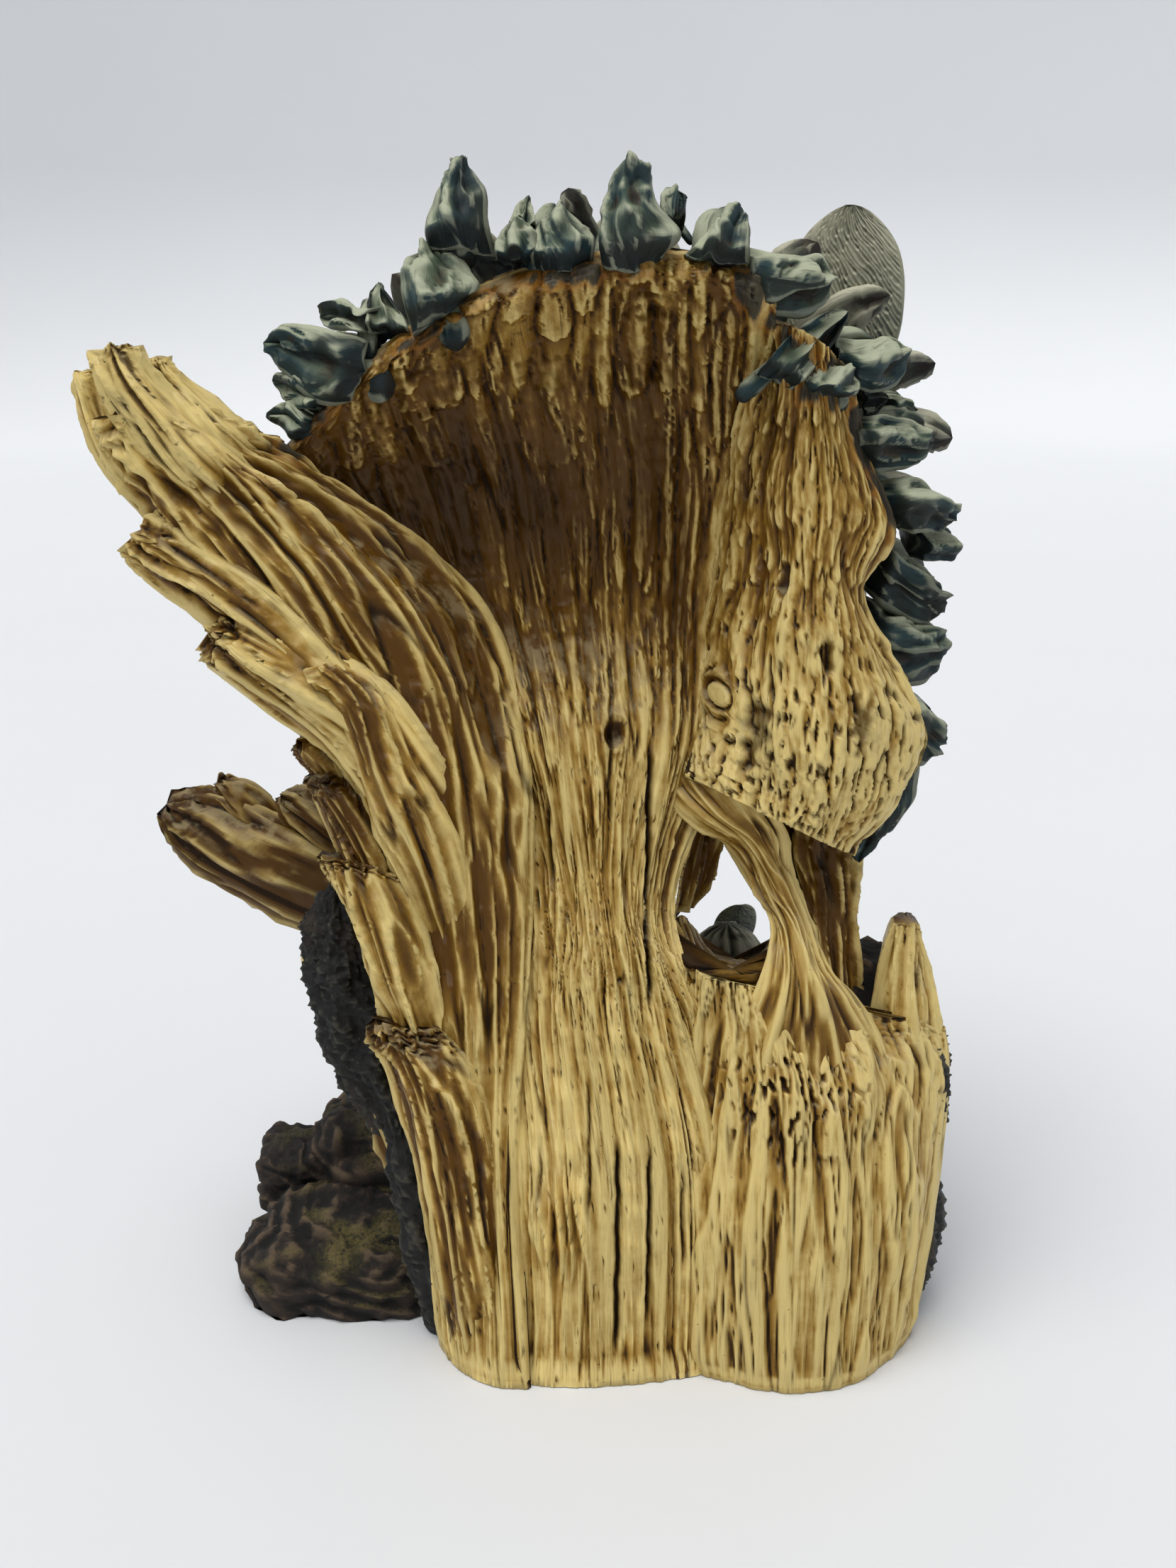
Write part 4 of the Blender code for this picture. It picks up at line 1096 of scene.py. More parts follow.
# The strips of bark along the left edge and at the right of the foot, crinkled like burnt paper and painted black,
# with one thin rim of bare wood behind the left strip.
BARK_STRIPS = {
    "left_strip": ([(-94, -22, 66), (-111, -24, 110), (-119, -26, 146), (-118, -26, 174)], 15, 14, 5.0),
    "left_edge": ([(-84, -40, -4), (-90, -36, 44), (-104, -26, 96)], 10, 11, 4.0),
    "right_high": ([(96, -18, 70), (98, -14, 96), (96, -8, 112)], 8, 14, 3.0),
    "right_low": ([(90, -14, 2), (97, -12, 34), (96, -10, 62)], 10, 24, 3.0),
}
BARK_RIM = ([(-96, -4, 54), (-114, -4, 102), (-129, -4, 136), (-124, -4, 160)], 8, 8, 3.0)
LEFT_STRIP_GRID, STRIP_GRID = (72, 96), (36, 60)
strips = Piece("bark_strips")
for number, (name, shape) in enumerate(BARK_STRIPS.items()):
    at, u, v, share, round_it = spar(*shape, *(LEFT_STRIP_GRID if name == "left_strip" else STRIP_GRID))
    relief = 2.6 * bark_net(u + 60, v + 40 * number, 54, 3.6) + 3.0 * wander(u / 8, v / 13, 56)
    relief += 0.9 * wander(u / 2.2, v / 3, 58) - 0.5
    relief *= rise(math.pi - round_it, 0, 0.5) * np.minimum(1, 8 * share)
    at += outward(at) * (relief - 0.8)[..., None]
    strips.add(at, grain_of(u, v, 30 + number))
strips.finish(black_bark, "rock_resin")
bark_rim = Piece("bark_rim")
carved_spar(bark_rim, BARK_RIM, 29, 40, 60, crumble=0.3, deep=0.4, square=2.4, ragged=2.0)
bark_rim.finish(driftwood, "driftwood_resin")

# The locks of the mane that stand up round the rim. Each is a thick curved tuft of cast hair with strands carved
# along it, painted dark blue-grey, brushed with pale dust on top, and set among smaller ones. A paler painted
# light lies on their upward faces, and painted shade on their right sides.
LOCK_TAPER, LOCK_BLUNT, LOCK_SINK, LOCK_BOW = 0.32, 4.0, 6.0, 0.1
HAIR_DARK, HAIR, HAIR_PALE = paint(12, 16, 14), paint(44, 56, 50), paint(178, 182, 156)
HAIR_BLUE, HAIR_GREEN, RUST = paint(36, 60, 64), paint(94, 108, 84), paint(96, 64, 32)


def hair_finish(name, dark, base, shade, light, dust):
    """Dark hair with pale dust brushed over its tops and edges and rust brown showing here and there, a paler
    painted light on its upward faces, and painted shade in its creases, on its undersides and on its shaded sides.
    """
    hair = Finish(name, specular=0.3)
    strands = hair.cloud(hair.stretch(hair.attribute("grain", "Vector"), (1.5, 0.12, 1.0)), 1.0, 4.0, 0.6)
    patch = hair.cloud(hair.place, 0.06 / MM, 2.0)
    stain = hair.cloud(hair.place, 0.1 / MM, 3.0, 0.5)
    crease, hollow, sky, tone = (hair.attribute(key) for key in ("crease", "hollow", "sky", "tone"))
    # lit: where a paler painted light falls on the upward faces.
    lit = 0.8 * sky + 0.6 * stain + 0.3 * strands - 0.6 * tone
    dusted = 1.1 * sky + 0.7 * strands + 0.5 * stain - 0.5 * tone - 0.3 * hollow
    body = hair.coats(
        base,
        (shade, hair.step(patch, 0.4, 0.6)),
        (light, 0.85 * hair.step(lit, 0.35, 1.0)),
        (dust, 0.85 * hair.step(dusted, 0.75, 1.7)),
        (RUST, 0.45 * hair.step(stain + 0.1 * hollow, 0.7, 0.85)),
        # dark paint and painted shade in the creases
        (dark, 0.75 * hair.step(0.8 * crease + 0.3 * hollow + 0.3 * (strands - 0.5), 0.1, 1.3)),
        # painted shade on the downward faces and where the tone is dark, as on the locks' shaded right sides
        (dark, 0.8 * hair.step(tone - 0.5 * sky + 0.3 * (stain - 0.5), 0.0, 1.3)),
        (dust, 0.35 * hair.step(0 - crease + 0.3 * (strands - 0.5), 0.1, 0.5)),
        (dark, 0.45 * hair.step(strands, 0.54, 0.68)),
    )
    hair.feed("Base Color", body)
    hair.feed("Roughness", 0.45 + 0.3 * strands)
    hair.bump(0.8 * strands + 0.2 * stain, 0.5 * MM, 0.8)
    return hair.material


mane_hair = hair_finish("mane_hair", HAIR_DARK, HAIR, HAIR_BLUE, HAIR_GREEN, HAIR_PALE)
LOCK_THICK, LOCK_GRID, SMALL_LOCK_GRID = (20, 9), (30, 12, 38), (18, 18)


def carved_lock(piece, rows, number, tone, shaded_side):
    """Adds one of the rim's locks: a blunt tuft with a keel, torn in folds and finely scored aslant in patches."""
    face, across, share, behind, u, v = sheet(rows, *LOCK_THICK, LOCK_GRID, blunt=7.0)
    u, v = u + 31.0 * number + 1.2 * wander(u / 9, v / 14, 73), v + 17.0 * number
    keel = 3.0 * np.exp(-(((across - 0.45 - 0.12 * wander(v / 12, 0 * v + number, 74)) / 0.16) ** 2))
    folds = 3.2 * crests(u, v, 71, 9, 34) + 1.6 * layers(u, v, 75, 9, 26, 3)
    slope = 0.9 * wander(u / 40, v / 40, 76)
    scored = rise(wander(u / 7, v / 9, 77), 0.0, 0.25)
    scores = furrows(u * np.cos(slope) + v * np.sin(slope), v, 78, 1.5, 14)
    relief = keel + folds + 0.9 * scored * (scores - 1) + 0.5 * wander(u / 3, v / 4, 79) - 3.4
    relief += 2.4 * wander(u / 7, v / 8, 80)
    relief *= np.minimum(1, 5 * across * (1 - across) + 0.25) * np.minimum(1, 8 * (1 - share))
    face += outward(face) * np.where(behind, 0.5 * relief, relief)[..., None]
    face[..., 1] += 9.0 * rise(share, 0.22, 0.0)
    # The right side is darkened with painted shade, and the lock is darker towards its root and on its hidden side.
    shade = tone + shaded_side * rise(across, 0.44, 0.56) + 0.9 * rise(share, 0.28, 0.05) + 0.5 * behind
    piece.add(face, grain_of(u, v, 50 + number), tone=shade)


def lock_path(root, tip):
    """A bowed path from a little behind the root to the tip."""
    root, tip = np.array(root, float), np.array(tip, float)
    run = tip - root
    length = np.linalg.norm(run)
    lift = np.array([-run[2], 0.0, run[0]])
    lift *= LOCK_BOW * length / (np.linalg.norm(lift) + 1e-6)
    return [root - run / length * LOCK_SINK, root + lift * 0.6, root + 0.6 * run + lift, tip]


def add_lock(piece, root, tip, half_width, half_depth, number, turns, rows, tone):
    """Adds one tuft, faceted and grooved along its strands, with a twist towards its tip."""
    rng = np.random.default_rng(number)
    path = lock_path(root, tip)
    at, u, v, share, round_it = spar(path, half_width, half_depth, LOCK_BLUNT, turns, rows, taper=LOCK_TAPER)
    turn = u / (0.5 * (half_width + half_depth))
    twist = rng.uniform(-1.4, 1.4) * share
    flat = np.cos(3 * turn + twist + rng.uniform(0, 6)) + 0.6 * np.cos(2 * turn - twist + rng.uniform(0, 6))
    relief = 0.09 * half_width * flat
    u = u + 2.5 * twist + 60
    tuft, own = fingers(u, v + 17.0 * number, 71, 0.42 * half_width, 24)
    strand, _own = fingers(u, v + 17.0 * number, 72, 0.2 * half_width, 14)
    relief += 0.3 * half_width * (tuft - 0.6) + 0.1 * half_width * (strand - 0.6)
    relief *= np.minimum(1, 6 * share) * rise(math.pi - round_it, 0, 0.4)
    at += outward(at) * relief[..., None]
    shade = tone + 0.25 * own + 0.5 * rise(share, 0.45, 0.1)
    piece.add(at, grain_of(u, v, 50 + number), tone=shade)


rim = Piece("rim_locks")
rng = np.random.default_rng(7)
for number, (tone, shaded_side, rows) in enumerate(LOCK_ROWS.values()):
    carved_lock(rim, rows, number, tone, shaded_side)
    foot, tip = np.array(rows[0], float).mean(axis=0), np.array(rows[-1], float).mean(axis=0)
    width = np.linalg.norm(np.array(rows[0][2], float) - rows[0][0])
    for small in range(2):
        base = foot + (tip - foot) * rng.uniform(-0.2, 0.1) + rng.uniform(-1, 1, 3) * (7, 1, 4)
        base += (0, 14 + 12 * small, 0)
        end = base + (tip - foot) * rng.uniform(0.5, 0.8) + rng.uniform(-1, 1, 3) * (6, 2, 3)
        thin = rng.uniform(0.28, 0.4) * width
        add_lock(rim, base, end, thin, thin, 100 + 2 * number + small, *SMALL_LOCK_GRID, tone=0.4)
rim.finish(mane_hair, "fur_resin")

# The mane on the wolves' side: rings of locks that spread from behind the big head, and rows down the chest.
# They are cast and painted as the rim's locks are.
FUR_DARK, FUR, FUR_GREY = paint(26, 27, 25), paint(70, 70, 60), paint(60, 68, 68)
FUR_LIGHT, FUR_CREAM = paint(126, 128, 106), paint(198, 194, 170)
wolf_fur = hair_finish("wolf_fur", FUR_DARK, FUR, FUR_GREY, FUR_LIGHT, FUR_CREAM)
MANE_CENTRE = (4.0, 0.0, 316.0)
MANE_RINGS = [  # radius, depth, how many, length, half width, and the angles that it goes from and to
    (44, 56, 12, 36, 12, -62, 232),
    (60, 46, 15, 36, 12, -58, 228),
    (75, 32, 16, 36, 12, -50, 232),
    (89, 12, 9, 36, 12, 106, 222),
]
MANE_LEFT_STRETCH, MANE_RISE, MANE_LOCK_GRID = 1.3, 0.86, (22, 22)
CHEST_MIDDLE = -14.0
CHEST_ROWS = [  # height, half of the row's width, how many, depth, length and half width
    (268, 34, 5, 62, 34, 10),
    (246, 30, 5, 62, 34, 10),
    (222, 24, 4, 58, 34, 10),
    (198, 14, 3, 50, 34, 9),
]
front_mane = Piece("front_mane")
number = 300
for radius, depth, count, length, half_width, start, end in MANE_RINGS:
    for step in range(count):
        angle = math.radians(start + (end - start) * step / (count - 1))
        reach = MANE_LEFT_STRETCH if math.cos(angle) < 0 else 1.0
        out = np.array([math.cos(angle) * reach, 0, math.sin(angle) * MANE_RISE])
        ring = np.array(MANE_CENTRE) + (0, depth, 0) + out * radius
        run = out / np.linalg.norm(out) * length + (0, -0.32 * length + 3.0 * math.sin(1.7 * number), 0)
        shade = 0.35 * math.sin(2.4 * number)
        ends = ring - run * 0.4, ring + run * 0.6
        add_lock(front_mane, *ends, half_width, 0.8 * half_width, number, *MANE_LOCK_GRID, tone=shade)
        number += 1
for height, spread, count, depth, length, half_width in CHEST_ROWS:
    for step in range(count):
        x = CHEST_MIDDLE + spread * (2 * step / (count - 1) - 1)
        ends = (x, depth - 6, height), (x + 0.2 * (x - CHEST_MIDDLE), depth, height - length)
        shade = 0.35 * math.sin(2.4 * number)
        add_lock(front_mane, *ends, half_width, 0.8 * half_width, number, *MANE_LOCK_GRID, tone=shade)
        number += 1
front_mane.finish(wolf_fur, "fur_resin")

# The bodies under the hair, and the rocks and ground of the foot. All are cast with the trunk. The rock is carved in
# beds and lumps and painted dark brown, rough as gravel, with a little yellow-green moss on the ledge's ridge.
BODIES = {  # middle, half sizes, and how square it is: 2 is a ball, and more is nearer to a block
    "mane_body": ((-16, 36, 314), (84, 22, 56), 2),
    "neck": ((28, 34, 262), (46, 24, 58), 2),
    "chest": ((-18, 36, 238), (40, 26, 66), 2),
    "pup_right_body": ((22, 62, 56), (21, 22, 40), 2),
    "pup_right_chest": ((18, 76, 34), (17, 17, 28), 2),
    "pup_right_back": ((25, 36, 112), (17, 15, 23), 2),
    "pup_left_body": ((-54, 54, 50), (23, 24, 40), 2),
    "pup_left_chest": ((-50, 72, 30), (17, 17, 28), 2),
}
ROCKS = {
    "trunk_core": ((4, -12, 40), (84, 42, 72), 3),
    "right_core": ((70, -10, 44), (28, 34, 72), 3),
    "ledge_low": ((-124, -4, 6), (42, 29, 20), 3),
    "ledge_slope": ((-112, 14, 18), (46, 34, 16), 3),
    "ledge_block": ((-146, 30, 28), (17, 17, 15), 5),
    "ledge_top": ((-116, 30, 34), (24, 18, 20), 5),
    "ledge_back": ((-92, 44, 22), (50, 38, 30), 4),
    "foot_left": ((-40, 56, 10), (62, 42, 26), 4),
    "foot_right": ((48, 46, 8), (54, 46, 22), 4),
    "den_floor": ((30, 44, 20), (44, 40, 46), 3),
    "den_bank": ((68, 4, 104), (32, 22, 34), 3),
}
BODY_GRID, LEDGE_GRID, ROCK_GRID = (48, 50), (88, 76), (40, 36)
ROCK, ROCK_DARK, ROCK_HIGHLIGHT, MOSS = paint(44, 33, 25), paint(11, 9, 7), paint(92, 76, 58), paint(104, 94, 46)


def rock_finish(name):
    """Near-black rock with gravelly brown patches, left near black in its creases as painted shade, with a painted
    highlight on its upward edges, and mossy where it is painted so.
    """
    rock = Finish(name, 0.85)
    gravel = rock.cloud(rock.place, 0.7 / MM, 4.0, 0.7)
    patch = rock.cloud(rock.place, 0.03 / MM, 3.0)
    crease, sky = rock.attribute("crease"), rock.attribute("sky")
    body = rock.coats(
        ROCK_DARK,
        # the brown keeps out of the creases, which stay near black as painted shade
        (ROCK, rock.step(gravel + 0.6 * patch - 0.5 * crease, 0.6, 1.1)),
        # a painted highlight on the upward ridges and edges
        (ROCK_HIGHLIGHT, rock.step(gravel - 0.7 * crease, 0.6, 1.3) * rock.step(sky, -0.2, 0.9)),
        (MOSS, rock.attribute("paint") * rock.step(gravel, 0.3, 0.6)),
    )
    rock.feed("Base Color", body)
    rock.feed("Roughness", 0.75 + 0.2 * gravel)
    rock.bump(gravel, 0.9 * MM, 1.0)
    return rock.material


dark_rock = rock_finish("dark_rock")


def lumps(at, size, seed):
    """A smooth random value from -1 to 1 through space, with about one hill to each size in millimetres."""
    period = 32
    hills = np.random.default_rng(seed).uniform(-1, 1, (period,) * 3)
    whole = np.floor(at / size).astype(int)
    part = at / size - whole
    part = part * part * (3 - 2 * part)
    value = np.zeros(at.shape[:-1])
    for corner in range(8):
        step = np.array([corner & 1, corner >> 1 & 1, corner >> 2])
        share = np.prod(np.where(step, part, 1 - part), axis=-1)
        index = (whole + step) % period
        value += share * hills[index[..., 0], index[..., 1], index[..., 2]]
    return value


def mass(centre, radii, squareness, turns, rows):
    """A ball, or a block with rounded edges: its points and its two angles."""
    turn, risen = np.meshgrid(np.arange(turns) / turns * 2 * math.pi, np.arange(rows + 1) / rows * math.pi)
    at = np.stack([np.sin(risen) * np.cos(turn), np.sin(risen) * np.sin(turn), -np.cos(risen)], axis=2)
    reach = (np.abs(at) ** squareness).sum(axis=2) ** (1 / squareness)
    return at / reach[..., None] * radii + centre, turn, risen


rocks = Piece("rock_foot")
for name, (centre, radii, squareness) in ROCKS.items():
    at, turn, height = mass(centre, radii, squareness, *(LEDGE_GRID if name.startswith("ledge") else ROCK_GRID))
    bed = at[..., 2] / 12 + 0.35 * at[..., 0] / 12 + 1.3 * lumps(at, 22.0, 85)
    step = bed - np.floor(bed)
    relief = 3.6 * (0.4 - np.abs(lumps(at, 15.0, 81))) + 2.6 * (0.4 - np.abs(lumps(at, 7.0, 82)))
    relief += 1.0 * lumps(at, 2.6, 83) + 2.4 * step * (1 - rise(step, 0.85, 1.0)) - 1.6
    at += outward(at) * relief[..., None]
    ridge = np.exp(-((np.hypot(at[..., 0] + 124, at[..., 2] - 17) / 34) ** 2)) * rise(lumps(at, 9.0, 86), -0.1, 0.4)
    rocks.add(at, grain_of(turn * 20, height * 20, 80), paint=0.8 * ridge * rise(outward(at)[..., 2], 0.1, 0.6))
rocks.finish(dark_rock, "rock_resin")

bodies = Piece("furred_bodies")
for centre, radii, squareness in BODIES.values():
    at, turn, height = mass(centre, radii, squareness, *BODY_GRID)
    u, v = turn * 0.5 * (radii[0] + radii[1]) * 0.7, height * radii[2]
    tuft, own = fingers(u, v, 85, 5.0, 15)
    strand, _own = fingers(u, v, 86, 1.7, 7)
    relief = 3.0 * (tuft - 0.6) + 0.6 * (strand - 0.6)
    at += outward(at) * (relief * rise(np.sin(height), 0.0, 0.3))[..., None]
    bodies.add(at, grain_of(u, v, 81), tone=0.25 * own + 0.2)
bodies.finish(wolf_fur, "fur_resin")

# The four wolves' heads: the sire above, the dam at its shoulder, and two pups at the den. Each is a wolf's head
# of cast resin with short combed fur, tufted cheeks and upright oval ears, painted grey over cream with a black
# nose and amber eyes.
HEADS = {  # middle, half width of the skull, turn, tilt and lean in degrees, length of the ears, and grid
    "sire": ((24, 52, 324), 44, 6, -12, 0, 63, (100, 110)),
    "dam": ((34, 40, 216), 30, 50, 0, 0, 36, (76, 84)),
    "pup_right": ((21, 66, 97), 19, -58, 4, -18, 25, (64, 70)),
    "pup_left": ((-52, 66, 98), 19, 24, 8, 0, 22, (64, 70)),
}
SKULL = [  # how far forward, height of the middle, half width, and reach up and down, in half widths of the skull
    (-0.80, 0.00, 0.50, 0.45, 0.50),
    (-0.55, 0.02, 0.92, 0.74, 0.90),
    (-0.15, 0.00, 1.12, 0.84, 1.02),
    (0.20, -0.04, 1.00, 0.76, 0.90),
    (0.48, -0.10, 0.68, 0.62, 0.62),
    (0.72, -0.20, 0.46, 0.44, 0.44),
    (1.05, -0.28, 0.37, 0.33, 0.34),
    (1.35, -0.33, 0.32, 0.27, 0.28),
    (1.56, -0.37, 0.26, 0.22, 0.22),
    (1.66, -0.39, 0.14, 0.12, 0.12),
]
EYE_FORWARD, EYE_ROUND, EYE_SIZE, EYE_GRID = 0.58, 0.74, 0.1, (24, 20)
NOSE, NOSE_SQUARENESS, NOSE_GRID = ((0, 1.6, -0.28), (0.17, 0.13, 0.13)), 2.6, (36, 30)
EAR_FOOT, EAR_UP, EAR_HALF_WIDTH = (0.8, -0.13, 0.42), (0.12, -0.2, 1.18), 0.5
EAR_OUTWARD, PUP_EAR_OUTWARD = 0.2, 1.0  # how far the ears are turned to the sides
EAR_OUTLINE = [0.7, 0.9, 1.0, 1.02, 1.02, 0.98, 0.8]  # from foot to tip, in half widths of the ear
SEEN_EAR_GRID, EAR_GRID = (112, 24, 132), (44, 16, 48)
NOSE_BLACK, AMBER_EYE, PUPIL = paint(14, 13, 12), paint(150, 104, 34), paint(8, 8, 8)


def glossy_finish(name, colour, dark, roughness):
    """A glossy enamel, darker where its tone is high."""
    gloss = Finish(name, roughness)
    speck = gloss.cloud(gloss.place, 0.9 / MM, 3.0)
    gloss.feed("Base Color", gloss.mix(colour, dark, gloss.attribute("tone") + 0.25 * speck))
    gloss.bump(speck, 0.15 * MM, 0.4)
    return gloss.material


nose_enamel = glossy_finish("nose_enamel", NOSE_BLACK, PUPIL, 0.35)
eye_enamel = glossy_finish("eye_enamel", AMBER_EYE, PUPIL, 0.12)


def skull(grid):
    """A wolf's head without ears, in half widths of the skull: its points, how far forward each is, the angle from
    the top of the head, and the distances round and along."""
    turns, rows = grid
    turn, share = np.meshgrid(np.arange(turns) / turns * 2 * math.pi, np.arange(rows + 1) / rows)
    forward, middle, wide, up, down = np.moveaxis(spline(SKULL, share), -1, 0)
    over = (turn - math.pi / 2 + math.pi) % (2 * math.pi) - math.pi
    side, rising = np.cos(turn), np.sin(turn)
    reach = (np.abs(side) ** 2.2 + np.abs(rising) ** 2.2) ** (-1 / 2.2)
    swell = np.sqrt(1 - (1 - share) ** 8) * np.sqrt(1 - share**12)
    x = wide * swell * side * reach * (1 + 0.12 * np.maximum(-rising, 0))
    z = middle + np.where(rising > 0, up, down) * swell * rising * reach
    return np.stack([x, forward, z], axis=2), forward, np.abs(over), over * 0.8, share * 2.6


def face_relief(forward, over):
    """Sockets, brows, cheekbones, the bridge of the nose and the line of the mouth, in half widths."""
    near_eye = ((forward - EYE_FORWARD) / 0.12) ** 2 + ((over - EYE_ROUND) / 0.26) ** 2
    height = -0.11 * np.exp(-near_eye)
    height += 0.07 * np.exp(-(((forward - 0.42) / 0.1) ** 2) - ((over - 0.55) / 0.35) ** 2)
    height += 0.05 * np.exp(-(((forward - 0.55) / 0.22) ** 2) - ((over - 1.5) / 0.3) ** 2)
    height -= 0.05 * np.exp(-((over / 0.16) ** 2)) * rise(forward, 0.0, 0.4) * rise(forward, 0.95, 0.6)
    line = 2.0 + 0.35 * (1.55 - forward)
    mouth = np.exp(-(((over - line) / 0.07) ** 2)) * rise(forward, 0.6, 0.75) * rise(forward, 1.62, 1.52)
    height += 0.03 * np.exp(-(((over - line + 0.25) / 0.2) ** 2)) * rise(forward, 0.7, 0.9)  # the lip above it
    return height - 0.06 * mouth, mouth, np.exp(-0.5 * near_eye)


def add_ear(piece, foot, up, facing, side, half_width, length, grid):
    """Adds an upright oval ear, cupped towards its facing side and combed all over with short slanting strokes."""
    across = np.cross(up, facing)
    across /= np.linalg.norm(across)
    rows = []
    for step, wide in enumerate(EAR_OUTLINE):
        middle = foot + up * length * (step / (len(EAR_OUTLINE) - 1) * 0.97)
        reach = across * wide * half_width
        rows.append([middle - reach, middle - facing * 0.3 * half_width, middle + reach])
    thick = 0.16 * half_width, 0.1 * half_width
    face, share_across, _share, behind, u, v = sheet(rows, *thick, grid, facing, blunt=4.0)
    leaning = 0.75 * side
    combed = u * np.cos(leaning) - v * np.sin(leaning) + 90, u * np.sin(leaning) + v * np.cos(leaning) + 90
    size = math.sqrt(half_width / 22)
    stroke, own = fingers(combed[0] + 1.5 * wander(u / 15, v / 15, 93), combed[1], 94, 1.5 * size, 5.2 * size)
    fade = rise(4 * share_across * (1 - share_across), 0.02, 0.2)
    face += outward(face) * (0.9 * size * (stroke - 0.5) * fade)[..., None]
    tone = np.where(behind, 0.5, -0.9) + 0.3 * rise(v, 0.75 * length, 0.2 * length) + 0.15 * own
    piece.add(face, grain_of(u, v, 92 + side), tone=tone, hollow=0.0)


eyes, noses = Piece("eyes"), Piece("noses")
for number, (name, (middle, half_width, turn, tilt, lean, ear_length, grid)) in enumerate(HEADS.items()):
    turning = (
        Matrix.Rotation(math.radians(-turn), 4, "Z")
        @ Matrix.Rotation(math.radians(tilt), 4, "X")
        @ Matrix.Rotation(math.radians(lean), 4, "Y")
    )
    turning = np.array(turning.to_3x3())
    head = Piece(name + "_head")
    at, forward, over, round_it, along = skull(grid)
    height, mouth, socket = face_relief(forward, over)
    cheek = rise(forward, 0.35, 0.0) * rise(over, 0.7, 1.2)
    at = at * half_width @ turning.T + np.array(middle)
    u, v = round_it * half_width + 120, along * half_width
    size = math.sqrt(half_width / 44)
    tuft, tuft_own = fingers(u, v, 95 + number, 6.5 * size, 20 * size)
    stroke, _own = fingers(u, v, 99 + number, 1.9 * size, 8 * size)
    relief = half_width * height + cheek * size * 5.0 * (tuft - 0.5)
    relief += 0.8 * size * (stroke - 0.5) * rise(forward, 1.5, 1.2)
    at += outward(at) * relief[..., None]
    tone = 0.45 * rise(over, 1.1, 0.5) * rise(forward, 1.4, 1.0) - 0.45 * rise(over, 1.0, 1.4) + 1.1 * mouth
    tone += 0.8 * socket * rise(socket, 0.3, 0.8) + 0.2 * tuft_own * cheek
    head.add(at, grain_of(u, v, 90), tone=tone)
    for side in (1, -1):
        mirror = np.array([side, 1, 1])
        foot = turning @ (np.array(EAR_FOOT) * mirror * half_width) + middle
        up = turning @ (np.array(EAR_UP) * mirror)
        up /= np.linalg.norm(up)
        outwards = PUP_EAR_OUTWARD if name.startswith("pup") else EAR_OUTWARD
        facing = turning @ np.array([outwards * side, 1.0, 0.1])
        facing -= up * (facing @ up)
        facing /= np.linalg.norm(facing)
        detail = SEEN_EAR_GRID if name == "sire" and side == 1 else EAR_GRID
        add_ear(head, foot, up, facing, side, EAR_HALF_WIDTH * half_width, ear_length, detail)
        row = np.abs(forward[:, 0] - EYE_FORWARD).argmin()
        column = np.abs((over[row] - EYE_ROUND) + 9 * (np.sign(round_it[row]) != -side)).argmin()
        inside = at[row, column] - 0.7 * EYE_SIZE * half_width * outward(at)[row, column]
        ball, turned, risen = mass(inside, (EYE_SIZE * half_width,) * 3, 2, *EYE_GRID)
        gaze = turning @ np.array([0.3 * side, 1.0, 0.0])
        centre = ball.mean(axis=(0, 1))
        ahead = ((ball - centre) @ (gaze / np.linalg.norm(gaze))) / (EYE_SIZE * half_width)
        pupil_and_rim = rise(ahead, 0.84, 0.9) + rise(ahead, 0.6, 0.5)
        eyes.add(ball, grain_of(turned, risen, 0), tone=pupil_and_rim)
    head.finish(wolf_fur, "fur_resin")
    at, turned, risen = mass(*NOSE, NOSE_SQUARENESS, *NOSE_GRID)
    for side in (1, -1):
        nostril = ((at[..., 0] - 0.08 * side) / 0.045) ** 2 + ((at[..., 2] + 0.28) / 0.035) ** 2
        at[..., 1] -= 0.06 * np.exp(-nostril) * (at[..., 1] > 1.6)
    at = at * half_width @ turning.T + np.array(middle)
    noses.add(at, grain_of(turned * 9, risen * 9, 0))
eyes.finish(eye_enamel, "fur_resin")
noses.finish(nose_enamel, "fur_resin")

# The floor that the sculpture stands on, in matt off-white, which curves up into a plain wall far behind and all
# round, and the soft light of a pale room, strongest from above.
ROOM_WHITE, ROOM_SHADE = paint(224, 226, 229), paint(220, 222, 225)
FLOOR_RADIUS, CORNER, CORNER_STEPS, WALL_HEIGHT = 2.8, 0.5, 10, 1.4
FLOOR_GAP = 0.0004  # keeps the floor from flickering through the sculpture's underside
SUN_POWER, SUN_BREADTH, SUN_COLOUR, SUN_AIM = 2.1, 42, (1.0, 0.99, 0.97), (0.22, 0.28, -1.0)
SKY_POWER, SKY_COLOUR = 0.52, (0.98, 0.99, 1.0, 1.0)
floor_white = Finish("floor_white", 0.8)
scuffs = floor_white.cloud(floor_white.place, 3.0, 4.0)
floor_white.feed("Base Color", floor_white.mix(ROOM_WHITE, ROOM_SHADE, scuffs))
bm = bmesh.new()
bmesh.ops.create_circle(bm, cap_ends=True, segments=96, radius=FLOOR_RADIUS)
bmesh.ops.translate(bm, vec=(0, 0, -FLOOR_GAP), verts=bm.verts)
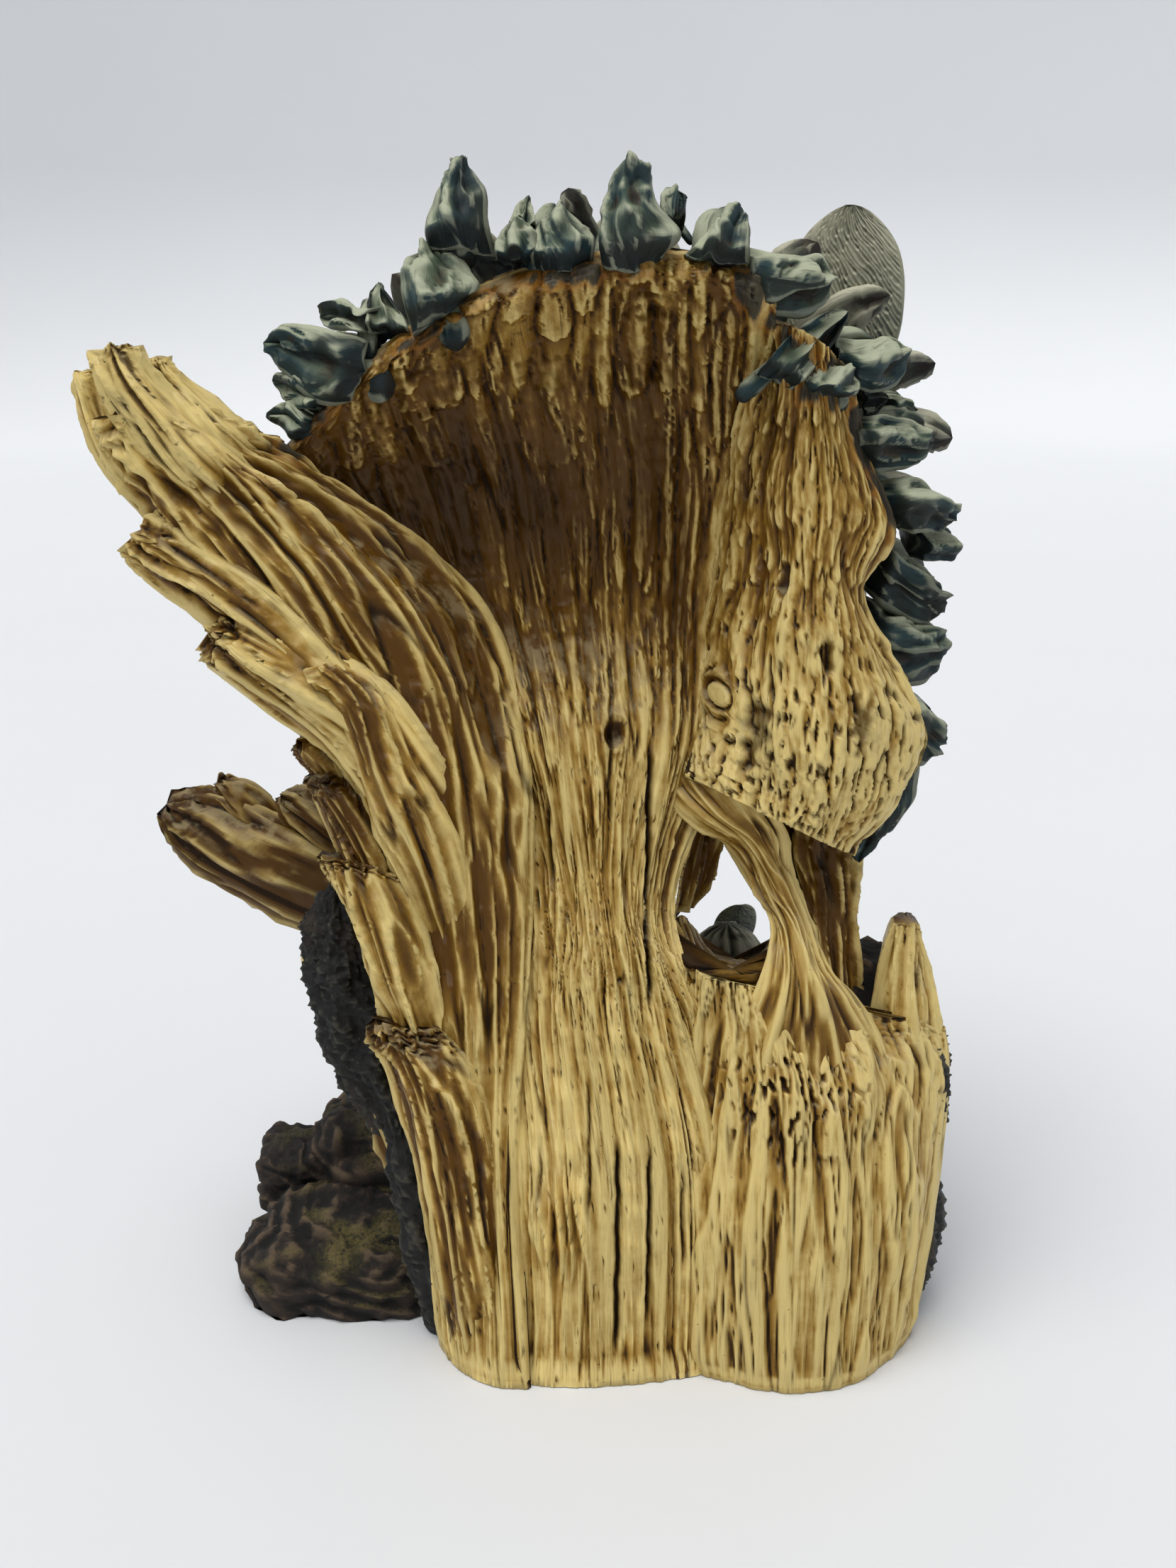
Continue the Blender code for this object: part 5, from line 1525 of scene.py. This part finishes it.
ring = [edge for edge in bm.edges if edge.is_boundary]
for step in range(1, CORNER_STEPS + 2):
    angle = min(step / CORNER_STEPS, 1) * math.pi / 2
    reach = FLOOR_RADIUS + CORNER * math.sin(angle)
    height = CORNER * (1 - math.cos(angle)) + WALL_HEIGHT * (step > CORNER_STEPS)
    raised = bmesh.ops.extrude_edge_only(bm, edges=ring)["geom"]
    ring = [item for item in raised if isinstance(item, bmesh.types.BMEdge)]
    for vert in (item for item in raised if isinstance(item, bmesh.types.BMVert)):
        vert.co = Vector((vert.co.x, vert.co.y, 0)).normalized() * reach + Vector((0, 0, height))
mesh = bpy.data.meshes.new("floor")
bm.to_mesh(mesh)
bm.free()
mesh.shade_smooth()
mesh.materials.append(floor_white.material)
floor = bpy.data.objects.new("floor", mesh)
bpy.context.scene.collection.objects.link(floor)

sun = bpy.data.lights.new("window", "SUN")
sun.energy = SUN_POWER
sun.angle = math.radians(SUN_BREADTH)
sun.color = SUN_COLOUR
lamp = bpy.data.objects.new("window", sun)
lamp.rotation_euler = Vector(SUN_AIM).to_track_quat("-Z", "Y").to_euler()
bpy.context.scene.collection.objects.link(lamp)
world = bpy.data.worlds.new("pale_room")
world.use_nodes = True
room = world.node_tree.nodes["Background"]
room.inputs["Color"].default_value = SKY_COLOUR
room.inputs["Strength"].default_value = SKY_POWER
bpy.context.scene.world = world
bpy.context.scene.view_settings.view_transform = "Standard"

# The camera stands where the photograph was taken from: near the middle of the sculpture's width and at about the
# height of its top, looking down at it.
CAMERA_AT, CAMERA_TILT = (-0.030, -0.602, 0.400), 72  # metres, and degrees up from straight down
CAMERA_LENS, CAMERA_SENSOR = 40.0, 36.0
camera_data = bpy.data.cameras.new("camera")
camera_data.lens = CAMERA_LENS
camera_data.sensor_width = CAMERA_SENSOR
camera = bpy.data.objects.new("camera", camera_data)
camera.location = CAMERA_AT
camera.rotation_euler = (math.radians(CAMERA_TILT), 0, 0)
bpy.context.scene.collection.objects.link(camera)
bpy.context.scene.camera = camera
